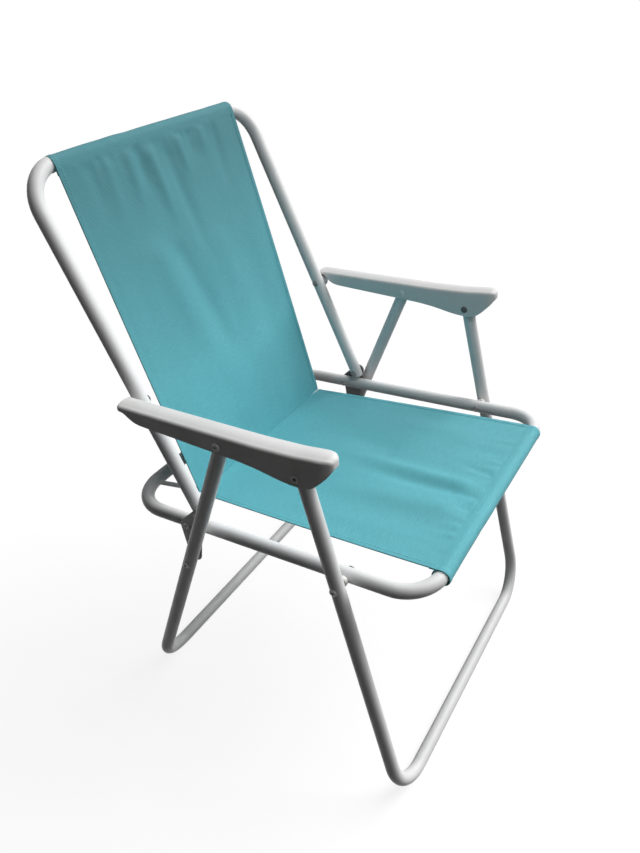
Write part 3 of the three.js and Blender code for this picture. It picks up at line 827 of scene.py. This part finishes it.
def woven_mesh(name, colour, pitch, cover):
    """Coated yarn in a plain weave: ribs across, finer warps along, small dark openings between, and a
    painted shade that darkens the colour towards the top of the back."""
    weave = new_finish(name)
    spot = weave.add("ShaderNodeUVMap", {}, uv_map="cloth").outputs["UV"]
    weft = weave.bands(spot, pitch, "Y")
    warp = weave.bands(spot, pitch * 0.8, "X")
    yarn = weave.remap(weave.combine("MULTIPLY", weft, warp), 0.45, 0.95, 1, 0)
    room = weave.place()
    cloudy = weave.clouds(weave.noise(room, 9, 3, 0.55), low=0.35, high=0.65)
    long_spot = weave.add("ShaderNodeMapping", {"Vector": spot, "Scale": (60, 520, 1)}).outputs["Vector"]
    slubs = weave.remap(weave.noise(long_spot, 1, 3, 0.6), 0.32, 0.68, 0.35, 1)
    body = weave.blend(cloudy, colour, shade(colour, 1.08))
    flecked = weave.blend(slubs, shade(colour, 0.82), body)
    woven = weave.blend(yarn, shade(colour, 0.45), flecked)
    # Painted shade: towards the top of the back, the cloth's colour blends into a copy at half its
    # brightness.
    height = weave.add("ShaderNodeSeparateXYZ", {"Vector": room}).outputs["Z"]
    weave.surface(
        Base_Color=weave.blend(weave.remap(height, 0.56, 0.86, 0, 1), woven, shade(colour, 0.5)),
        Roughness=0.5,
        Specular_IOR_Level=0.22,
        Sheen_Weight=0.03,
        Sheen_Roughness=0.4,
        Alpha=cover,
    )
    ribs = weave.combine("ADD", weft, weave.combine("MULTIPLY", warp, 0.6))
    weave.relief(ribs, -0.0004, 0.7)


# Settings


def colour_setting(label, text, value):
    return bpy.props.FloatVectorProperty(
        name=label, description=text, subtype="COLOR", size=3, min=0, max=1, default=value
    )


def length_setting(label, text, value):
    return bpy.props.FloatProperty(
        name=label, description=text, default=value, min=0, unit="LENGTH", precision=4
    )


def level_setting(label, text, value):
    return bpy.props.FloatProperty(name=label, description=text, default=value, min=0)


def count_setting(label, text, value, low, high):
    return bpy.props.IntProperty(name=label, description=text, default=value, min=low, max=high)


class TubeSettings(bpy.types.PropertyGroup):
    sides: count_setting("Sides", "Faces round a tube", 32, 8, 64)
    bend_steps: count_setting("Bend steps", "Rings in each bend", 14, 4, 40)


class SlingSettings(bpy.types.PropertyGroup):
    thickness: length_setting("Thickness", "Thickness of the woven mesh", 0.0010)
    hem_width: length_setting("Hem width", "Width of the folded side hems", 0.008)
    hem_extra: length_setting("Hem height", "How much thicker the side hems are", 0.0011)
    seam: length_setting("Sleeve seam", "From a bar's centre to the seam of its sleeve", 0.008)
    hem_lap: length_setting("Lap", "Cloth that lies past a sleeve seam", 0.010)
    half_width: length_setting("Half width", "Half of the sling's width at its bars", 0.199)
    waist: length_setting("Waist", "How much each side draws in at the crease", 0.011)
    ripple: length_setting("Ripple", "Height of the cloth's ripples", 0.0016)
    pitch: length_setting("Weave pitch", "Distance between ribs of the weave", 0.0020)
    sleeve_ease: length_setting("Sleeve ease", "How far the loose top sleeve stands off its bar", 0.0022)
    stitch: length_setting("Stitch", "Length of one stitch", 0.0032)
    thread_radius: length_setting("Thread", "Radius of the sewing thread", 0.00028)
    cover: bpy.props.FloatProperty(
        name="Cover", description="Share of light that the mesh stops", default=0.90, min=0, max=1,
        subtype="FACTOR",
    )


class FinishSettings(bpy.types.PropertyGroup):
    paint: colour_setting("Tube paint", "Colour of the painted tubes", (0.80, 0.80, 0.80))
    plastic: colour_setting("Armrest plastic", "Colour of the moulded armrests", (0.76, 0.755, 0.75))
    bracket: colour_setting("Bracket plating", "Colour of the stamped brackets", (0.18, 0.18, 0.18))
    rivet: colour_setting("Rivet plating", "Colour of the rivet heads", (0.27, 0.27, 0.275))
    nylon: colour_setting("Nylon", "Colour of washers, spacers and plugs", (0.70, 0.70, 0.68))
    cloth: colour_setting("Mesh cloth", "Colour of the sling", (0.152, 0.560, 0.640))
    thread: colour_setting("Thread", "Colour of the stitching", (0.08, 0.42, 0.50))


class StageSettings(bpy.types.PropertyGroup):
    key: level_setting("Main light", "Level of the main lamp", 1.04)
    fill: level_setting("Room light", "Level of the light all round", 0.015)
    soft: level_setting("Soft light", "Power of the lamp over the seat", 4.5)


# Pieces


def wear(piece, material_name, body, node=None):
    """Gives a piece its finish, the body that it rides on and the frame's node that it stands
    for."""
    piece.data.materials.clear()
    piece.data.materials.append(bpy.data.materials[material_name])
    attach(piece, body)
    if node:
        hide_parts(node)


class CHAIR_OT_finishes(bpy.types.Operator):
    """Makes the finishes and puts them on the frame's own pieces"""

    bl_idname = "chair.finishes"
    bl_label = "Finishes"

    def execute(self, context):
        look = context.scene.chair_finishes
        cloth = context.scene.chair_sling
        painted_tube("gloss_paint", look.paint)
        moulded_plastic("moulded_plastic", look.plastic)
        plated_metal("bracket_plating", look.bracket, 0.5, 0.1)
        plated_metal("rivet_plating", look.rivet, 0.36, 0.3)
        plated_metal("dark_plating", shade(look.rivet, 0.35), 0.4, 0.1)
        plain_nylon("plain_nylon", look.nylon)
        woven_mesh("coated_weave", look.cloth, cloth.pitch, cloth.cover)
        sewing_thread("sewing_thread", look.thread)
        worn = {
            "bracket": "bracket_plating",
            "rivet": "rivet_plating",
            "washer": "plain_nylon",
            "spacer": "plain_nylon",
            "post_plug": "plain_nylon",
            "armrest": "moulded_plastic",
            "sling": "coated_weave",
        }
        for name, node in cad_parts.items():
            choice = "gloss_paint"
            for start, material_name in worn.items():
                if name.startswith(start):
                    choice = material_name
            node.data.materials.clear()
            node.data.materials.append(bpy.data.materials[choice])
        return {"FINISHED"}


class CHAIR_OT_tubes(bpy.types.Operator):
    """Bends the round tubes of the back, the seat and the legs"""

    bl_idname = "chair.tubes"
    bl_label = "Tubes"

    def execute(self, context):
        tube = context.scene.chair_tubes
        for node, body, high, low, half, bend in (
            ("back_tube", "back", POST_END, TOP_BAR, FRAME_HALF, TOP_BEND),
            ("rear_leg_tube", "rear_legs", REAR_LEG_TOP, REAR_FLOOR, LEG_HALF, LEG_BEND),
            ("front_leg_tube", "front_legs", FRONT_LEG_TOP, FRONT_FLOOR, LEG_HALF, LEG_BEND),
        ):
            corners = [place(half, high), place(half, low), place(-half, low), place(-half, high)]
            piece = bend_tube(node + "_bent", corners, (bend, bend), tube)
            add_wall(piece, TUBE_WALL)
            shade_smooth(piece, TUBE_ANGLE)
            wear(piece, "gloss_paint", body, node)
        loop = [
            place(FRAME_HALF, FRONT_BAR), place(FRAME_HALF, REAR_BAR),
            place(-FRAME_HALF, REAR_BAR), place(-FRAME_HALF, FRONT_BAR),
        ]
        bends = (REAR_BEND, REAR_BEND, FRONT_BEND, FRONT_BEND)
        piece = bend_tube("seat_tube_bent", loop, bends, tube, closed=True)
        shade_smooth(piece, TUBE_ANGLE)
        wear(piece, "gloss_paint", "seat", "seat_tube")
        return {"FINISHED"}


class CHAIR_OT_back_sling(bpy.types.Operator):
    """Makes the back panel of the sling, with its sleeve, hems, folds and stitching"""

    bl_idname = "chair.back_sling"
    bl_label = "Back of the sling"

    def execute(self, context):
        cloth = context.scene.chair_sling
        panel = Panel(
            cloth, TOP_BAR, TOP_BEND, turn=-1, crease_side=-0.0015, short=0.0009,
            folds=BACK_FOLDS, sag=0.0012, ease=cloth.sleeve_ease,
        )
        piece = sling_piece("back_panel", panel, BACK_ROWS, "sling_back", "sling_back")
        stitches = sew_panel("back_stitches", panel, panel.reach - BACK_STITCH_END, "sling_back")
        return {"FINISHED"}


class CHAIR_OT_seat_sling(bpy.types.Operator):
    """Makes the seat panel of the sling, with its sleeve, its pocket, hems, folds and stitching"""

    bl_idname = "chair.seat_sling"
    bl_label = "Seat of the sling"

    def execute(self, context):
        cloth = context.scene.chair_sling
        panel = Panel(
            cloth, FRONT_BAR, FRONT_BEND, turn=1, crease_side=0.0, short=0.0,
            folds=SEAT_FOLDS, sag=0.0032, ease=cloth.sleeve_ease * 0.5,
        )
        radius = ROD_RADIUS + POCKET_GAP + cloth.thickness / 2
        rod = panel.point(panel.reach, -radius)
        round_rod = sleeve_line(radius, POCKET_SEAM, POCKET_LAP, cloth.thickness + CLOTH_GAP, POCKET_STEPS)
        pocket = [rod - panel.ahead * away + panel.upper * up for away, up in round_rod[-2::-1]]
        piece = sling_piece("seat_panel", panel, SEAT_ROWS, "seat", "sling_seat", pocket)
        stitches = sew_panel("seat_stitches", panel, panel.reach - SEAT_STITCH_END, "seat")
        return {"FINISHED"}


# Armrests


def smooth_path(points, places, reach):
    """Heights along a smooth line through the given points."""
    given = np.array(points)
    dense = np.linspace(given[0, 0], given[-1, 0], 1200)
    heights = np.interp(dense, given[:, 0], given[:, 1])
    for _ in range(3):
        before = 2 * heights[0] - heights[reach:0:-1]
        after = 2 * heights[-1] - heights[-2:-reach - 2:-1]
        padded = np.concatenate([before, heights, after])
        heights = np.convolve(padded, np.ones(2 * reach + 1) / (2 * reach + 1), "valid")
    return np.interp(places, dense, heights)


def quarter_round(past, radius, rise):
    """How far a surface has come in at a distance past the start of a quarter round."""
    share = min(max(past / radius, 0), 1)
    return rise * (1 - math.sqrt(1 - share ** 2))


def armrest_section(depth):
    """Half a section across the armrest as (share of the half width, height under the top): skirt,
    round corner and crowned top."""
    corner = ARM_CORNER / ARM_HALF
    points = [(1, -depth + (depth - ARM_CORNER_DEPTH) * k / 3) for k in range(3)]
    for k in range(8):
        angle = math.pi / 2 * k / 7
        drop = ARM_CORNER_DEPTH * (math.sin(angle) - 1)
        points.append((1 - corner + corner * math.cos(angle), drop))
    for k in range(1, 5):
        share = (1 - corner) * (1 - k / 5)
        points.append((share, ARM_CROWN * (1 - (share / (1 - corner)) ** 2)))
    return points


ArmRow = namedtuple("ArmRow", "ahead top low middle half")


def armrest_rows():
    """The sections of an armrest from the tail to the nose: where each is, its heights, its middle and
    half its width."""
    tail, nose = ARM_TOP[0][0], ARM_TOP[-1][0]
    turns = [math.sin(math.pi / 2 * k / CORNER_ROWS) for k in range(CORNER_ROWS + 1)]
    places = [tail + TAIL_CORNER * (1 - turn) for turn in reversed(turns)]
    places += list(np.arange(tail + TAIL_CORNER + 0.001, nose - NOSE_CORNER - 0.001, ARM_PITCH))
    places += [nose - NOSE_CORNER + (NOSE_CORNER - 0.0001) * turn for turn in turns]
    tops = smooth_path(ARM_TOP, places, TOP_SMOOTHING)
    lows = smooth_path(ARM_LOW, places, LOW_SMOOTHING)
    rows = []
    for ahead, top, low in zip(places, tops, lows):
        top -= quarter_round(ahead - nose + NOSE_ROUND[0], *NOSE_ROUND)
        top -= quarter_round(tail + TAIL_ROUND[0] - ahead, *TAIL_ROUND)
        low = min(low, top - ARM_CORNER_DEPTH - 0.0005)
        inner = ARM_HALF - quarter_round(ahead - nose + NOSE_CORNER, NOSE_CORNER, NOSE_NARROWING)
        outer = inner - quarter_round(tail + TAIL_CORNER - ahead, TAIL_CORNER, TAIL_CORNER - 0.001)
        rows.append(ArmRow(ahead, top, low, (outer - inner) / 2, (outer + inner) / 2))
    return rows


def armrest_skin(name):
    """The outside of an armrest as one skin. The line of its section is drawn by extruding a point. It is
    then extruded from the tail to the nose, and at each step it takes the width and depth of that place."""
    rows = armrest_rows()
    here = rows[0]
    side = armrest_section(here.top - here.low)
    line = side + [(0, ARM_CROWN)] + [(-share, drop) for share, drop in reversed(side)]
    x, z = line[0]
    bpy.ops.object.select_all(action="DESELECT")
    bpy.ops.mesh.primitive_plane_add(
        size=0.001, location=(here.middle + here.half * x, -here.ahead, here.top + z)
    )
    piece = bpy.context.object
    piece.name = name
    bpy.ops.object.transform_apply(location=True, rotation=True, scale=True)
    start_edit()
    bpy.ops.mesh.merge(type="CENTER")
    for after_x, after_z in line[1:]:
        extrude((here.half * (after_x - x), 0, after_z - z))
        x, z = after_x, after_z
    bpy.ops.mesh.select_all(action="SELECT")
    for after in rows[1:]:
        extrude((after.middle - here.middle, here.ahead - after.ahead, after.top - here.top))
        bpy.ops.transform.resize(
            value=(after.half / here.half, 1, 1), center_override=(after.middle, -after.ahead, after.top)
        )
        height = after.top - ARM_CORNER_DEPTH
        scale = (height - after.low) / (here.top - ARM_CORNER_DEPTH - here.low)
        select_where(piece, lambda vertex: vertex.select and vertex.co.z < height - FINE_MERGE)
        bpy.ops.transform.resize(value=(1, 1, scale), center_override=(after.middle, -after.ahead, height))
        select_where(piece, lambda vertex: abs(vertex.co.y + after.ahead) < ROW_REACH)
        here = after
    bpy.ops.object.mode_set(mode="OBJECT")
    place_at = Matrix.Translation((ARM_INNER_SIDE + ARM_HALF, *POST_PIVOT))
    piece.data.transform(place_at @ Matrix.Rotation(ARM_LEAN, 4, "X"))
    return piece


def finish_armrest(piece):
    """Closes both ends of the skin, gives it its wall and its ear round the post pivot, and drills the
    holes for its rivets."""
    make_active(piece)
    start_edit()
    for end in (-1, 1):
        line = Vector((0, math.cos(ARM_LEAN), math.sin(ARM_LEAN))) * end
        far = max(vertex.co.dot(line) for vertex in bmesh.from_edit_mesh(piece.data).verts)
        select_where(piece, lambda vertex: vertex.co.dot(line) > far - ROW_REACH)
        bpy.ops.mesh.edge_face_add()
    end_edit()
    add_wall(piece, ARM_SKIN)
    start, end = ARM_INNER_SIDE, ARM_INNER_SIDE + ARM_SKIN
    profile = [
        (EAR_RADIUS - EAR_EDGE[0], start), (EAR_RADIUS, start + EAR_EDGE[0]),
        (EAR_RADIUS, end - EAR_EDGE[1]), (EAR_RADIUS - EAR_EDGE[1], end),
    ]
    join_shapes(piece, turned_piece("ear", (0, *POST_PIVOT), ACROSS, profile, EAR_SIDES), "UNION")
    middle = ARM_INNER_SIDE + ARM_HALF
    far = ARM_INNER_SIDE + 2 * ARM_HALF + DRILL_PAST
    for point, end in ((POST_PIVOT, middle), (REAR_LEG_PIVOT, far), (FRONT_LEG_PIVOT, far)):
        profile = [(HOLE_RADIUS, ARM_INNER_SIDE - DRILL_PAST), (HOLE_RADIUS, end)]
        join_shapes(piece, turned_piece("drill", (0, *point), ACROSS, profile, RIVET_SIDES), "DIFFERENCE")


class CHAIR_OT_armrests(bpy.types.Operator):
    """Makes the moulded armrests: a hollow crowned channel with a round nose and a drop under it"""

    bl_idname = "chair.armrests"
    bl_label = "Armrests"

    def execute(self, context):
        model = armrest_skin("armrest_model")
        finish_armrest(model)
        for side in SIDES:
            node = "armrest_" + side
            low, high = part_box(node)
            piece = add_object(node + "_moulded", model.data.copy())
            if low[0] + high[0] < 0:
                piece.data.transform(Matrix.Scale(-1, 4, ACROSS))
                piece.data.flip_normals()
            round_edges(piece, ARM_EDGE, ARM_EDGE_ANGLE)
            shade_smooth(piece, ARM_ANGLE)
            wear(piece, "moulded_plastic", "armrests", node)
        bpy.data.objects.remove(model)
        return {"FINISHED"}


# Fasteners and brackets


def bore_of(node):
    """Where a fastener sits: its axis in side view, its outward direction, and its inner and outer end."""
    low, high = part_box(node)
    out = 1 if low[0] + high[0] > 0 else -1
    centre = (0, (low[1] + high[1]) / 2, (low[2] + high[2]) / 2)
    start, end = sorted((abs(low[0]), abs(high[0])))
    return centre, (out, 0, 0), start, end


def head_profile(rise):
    """A rivet's rolled head from the bottom of its eye outward: (radius, height over the sheet under it)."""
    eye, head = RIVET_EYE, RIVET_HEAD
    return [
        (eye * 0.8, -0.0042), (eye, -0.0036), (eye, rise * 0.55), (eye * 1.15, rise * 0.86),
        (eye * 1.45, rise), (head * 0.62, rise * 0.98), (head * 0.84, rise * 0.72),
        (head * 0.96, rise * 0.38), (head, rise * 0.1), (head * 0.98, 0),
    ]


def dome_profile(head, rise):
    """A plain round head from the sheet outward: (radius, height over the sheet)."""
    return [
        (head, 0), (head, rise * 0.15), (head * 0.88, rise * 0.55), (head * 0.6, rise * 0.88),
        (head * 0.2, rise),
    ]


# Heads of each kind of rivet: its body, the rise of its inner and of its outer head, 0 where it has
# none, and its finish
RIVETS = {
    "rivet_armrest_post": ("armrests", 0.0022, 0.0017, "rivet_plating"),
    "rivet_armrest_rear_leg": ("armrests", 0.0013, 0.0022, "gloss_paint"),
    "rivet_armrest_front_leg": ("armrests", 0.0013, 0.0022, "dark_plating"),
    "rivet_bracket_post": ("brackets", 0.0022, 0.0013, "rivet_plating"),
    "rivet_bracket_rail": ("brackets", 0.0022, 0.0013, "rivet_plating"),
    "rivet_bracket_dish": ("brackets", 0.0013, 0, "rivet_plating"),
    "rivet_rear_leg": ("rear_legs", 0, 0.0022, "rivet_plating"),
    "rivet_rail": ("seat", 0.0022, 0, "rivet_plating"),
    "rivet_front_leg": ("front_legs", 0, 0.0022, "rivet_plating"),
}
WASHERS = {
    "washer_armrest_post": "armrests",
    "washer_rear_leg_inner": "armrests",
    "washer_rear_leg_outer": "armrests",
    "washer_front_leg_inner": "armrests",
    "washer_front_leg_outer": "armrests",
    "spacer_rail": "seat",
}


class CHAIR_OT_rivets(bpy.types.Operator):
    """Turns the tubular rivets, with a rolled eye at their outer ends"""

    bl_idname = "chair.rivets"
    bl_label = "Rivets"

    def execute(self, context):
        for kind, (body, inner, outer, finish) in RIVETS.items():
            for side in SIDES:
                node = kind + "_" + side
                centre, out, start, end = bore_of(node)
                start += inner
                end -= outer
                head = RIVET_HEAD
                if kind == "rivet_bracket_dish":
                    low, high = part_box(node)
                    head = (high[2] - low[2]) / 2
                if outer:
                    profile = [(radius, end + height) for radius, height in head_profile(outer)]
                else:
                    profile = [(RIVET_RADIUS * 0.8, end), (RIVET_RADIUS, end - RIVET_EDGE)]
                profile += [(RIVET_RADIUS, profile[-1][1]), (RIVET_RADIUS, start)]
                if inner:
                    profile += [(radius, start - height) for radius, height in dome_profile(head, inner)]
                piece = turned_piece(node + "_turned", centre, out, profile, RIVET_SIDES)
                shade_smooth(piece, RIVET_ANGLE)
                wear(piece, finish, body, node)
        return {"FINISHED"}


class CHAIR_OT_washers(bpy.types.Operator):
    """Turns the nylon washers and spacers with their edges broken"""

    bl_idname = "chair.washers"
    bl_label = "Washers and spacers"

    def execute(self, context):
        for kind, body in WASHERS.items():
            for side in SIDES:
                node = kind + "_" + side
                centre, out, start, end = bore_of(node)
                edge = min(WASHER_EDGE, (end - start) / 4)
                hole, rim = HOLE_RADIUS, WASHER_RADIUS
                profile = [
                    (hole, start + edge / 2), (hole + edge / 2, start), (rim - edge, start),
                    (rim, start + edge), (rim, end - edge), (rim - edge, end),
                    (hole + edge / 2, end), (hole, end - edge / 2), (hole, start + edge / 2),
                ]
                piece = turned_piece(node + "_turned", centre, out, profile, WASHER_SIDES, ring=True)
                shade_smooth(piece, WASHER_ANGLE)
                wear(piece, "plain_nylon", body, node)
        return {"FINISHED"}


class CHAIR_OT_brackets(bpy.types.Operator):
    """Makes the stamped brackets from the frame's shape, with flat faces joined and cut edges broken"""

    bl_idname = "chair.brackets"
    bl_label = "Brackets"

    def execute(self, context):
        for side in SIDES:
            node = "bracket_" + side
            shape = bmesh.new()
            shape.from_mesh(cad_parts[node].data)
            bmesh.ops.remove_doubles(shape, verts=shape.verts, dist=MERGE)
            flat = math.radians(FLAT_ANGLE)
            bmesh.ops.dissolve_limit(shape, angle_limit=flat, verts=shape.verts, edges=shape.edges)
            mesh = bpy.data.meshes.new(node + "_stamped")
            shape.to_mesh(mesh)
            shape.free()
            piece = add_object(node + "_stamped", mesh)
            round_edges(piece, BRACKET_EDGE, BRACKET_ANGLE)
            shade_smooth(piece, BRACKET_ANGLE)
            wear(piece, "bracket_plating", "brackets", node)
        return {"FINISHED"}


# Stage


def aim(lamp, at, direction):
    """Puts a lamp at a place, shining from a direction."""
    lamp.location = Vector(at)
    lamp.rotation_euler = Vector(direction).to_track_quat("Z", "Y").to_euler()


def add_main_lamp(level):
    """A far lamp; at level 1 a colour that faces it renders as written."""
    data = bpy.data.lights.new("main_lamp", "SUN")
    data.energy = level * math.pi
    data.angle = math.radians(MAIN_SPREAD)
    aim(add_object("main_lamp", data), Vector(MAIN_FROM) * 3, MAIN_FROM)


def add_soft_lamp(power):
    """A square lamp near the object, which lights the sides that face the middle of the seat."""
    data = bpy.data.lights.new("soft_lamp", "AREA")
    data.energy = power
    data.size = SOFT_SIZE
    aim(add_object("soft_lamp", data), SOFT_PLACE, Vector(SOFT_PLACE) - Vector(SOFT_TARGET))


def add_camera():
    """The camera at the photograph's viewing angle."""
    data = bpy.data.cameras.new("camera")
    data.sensor_width = 36
    data.lens = CAMERA_LENS
    data.shift_x, data.shift_y = CAMERA_SHIFT
    data.clip_end = 200
    camera = add_object("camera", data)
    turn, rise, roll = (math.radians(angle) for angle in (CAMERA_TURN, CAMERA_RISE, CAMERA_ROLL))
    back = Vector((math.sin(turn) * math.cos(rise), -math.cos(turn) * math.cos(rise), math.sin(rise)))
    right = Vector((math.cos(turn), math.sin(turn), 0))
    up = back.cross(right)
    right, up = (
        right * math.cos(roll) + up * math.sin(roll),
        up * math.cos(roll) - right * math.sin(roll),
    )
    camera.matrix_world = Matrix.Translation(CAMERA_PLACE) @ Matrix((right, up, back)).transposed().to_4x4()
    return camera


class CHAIR_OT_stage(bpy.types.Operator):
    """Sets the floor, the lamps, the room light and the camera"""

    bl_idname = "chair.stage"
    bl_label = "Stage"

    def execute(self, context):
        stage = context.scene.chair_stage
        bpy.ops.object.select_all(action="DESELECT")
        bpy.ops.mesh.primitive_plane_add(size=80, location=(0, 0, -0.0004))
        floor = context.object
        floor.name = "floor"
        pale = new_finish("pale_floor")
        seen, rays = pale.seen()
        behind_mesh = pale.combine("GREATER_THAN", rays["Transparent Depth"], 0.5)
        seen = pale.combine("MAXIMUM", pale.combine("SUBTRACT", seen, behind_mesh), 0.0)
        pale.surface(
            Base_Color=pale.blend(seen, (0.03, 0.03, 0.03), (0.20, 0.20, 0.20)),
            Roughness=0.9,
            Specular_IOR_Level=0.0,
            Emission_Color=(1, 1, 1, 1),
            Emission_Strength=pale.remap(seen, 0, 1, 0, 0.86),
        )
        floor.data.materials.append(bpy.data.materials["pale_floor"])

        context.scene.world = bpy.data.worlds.new("room")
        room = Nodes(context.scene.world, "Background")
        seen, _ = room.seen()
        room.surface(Color=(1, 1, 1, 1), Strength=room.remap(seen, 0, 1, stage.fill, 1.0))

        add_main_lamp(stage.key)
        add_soft_lamp(stage.soft)
        context.scene.camera = add_camera()
        context.scene.view_settings.view_transform = "Standard"
        return {"FINISHED"}


class CHAIR_PT_panel(bpy.types.Panel):
    bl_idname = "CHAIR_PT_panel"
    bl_label = "Sling Chair"
    bl_space_type = "VIEW_3D"
    bl_region_type = "UI"
    bl_category = "Sling Chair"

    def draw(self, context):
        layout = self.layout
        for operator in OPERATORS:
            layout.operator(operator.bl_idname)
        for name in SETTINGS:
            group = getattr(context.scene, name)
            for key in group.bl_rna.properties.keys():
                if key not in ("rna_type", "name"):
                    layout.prop(group, key)


SETTINGS = {
    "chair_tubes": TubeSettings,
    "chair_sling": SlingSettings,
    "chair_finishes": FinishSettings,
    "chair_stage": StageSettings,
}
OPERATORS = (
    CHAIR_OT_finishes,
    CHAIR_OT_tubes,
    CHAIR_OT_back_sling,
    CHAIR_OT_seat_sling,
    CHAIR_OT_armrests,
    CHAIR_OT_rivets,
    CHAIR_OT_washers,
    CHAIR_OT_brackets,
    CHAIR_OT_stage,
)


def register():
    for name, group in SETTINGS.items():
        bpy.utils.register_class(group)
        setattr(bpy.types.Scene, name, bpy.props.PointerProperty(type=group))
    for operator in OPERATORS:
        bpy.utils.register_class(operator)
    bpy.utils.register_class(CHAIR_PT_panel)


def unregister():
    bpy.utils.unregister_class(CHAIR_PT_panel)
    for operator in reversed(OPERATORS):
        bpy.utils.unregister_class(operator)
    for name, group in SETTINGS.items():
        delattr(bpy.types.Scene, name)
        bpy.utils.unregister_class(group)


def main():
    register()
    bpy.ops.chair.finishes()
    bpy.ops.chair.tubes()
    bpy.ops.chair.back_sling()
    bpy.ops.chair.seat_sling()
    bpy.ops.chair.armrests()
    bpy.ops.chair.rivets()
    bpy.ops.chair.washers()
    bpy.ops.chair.brackets()
    bpy.ops.chair.stage()


if __name__ == "__main__":
    main()
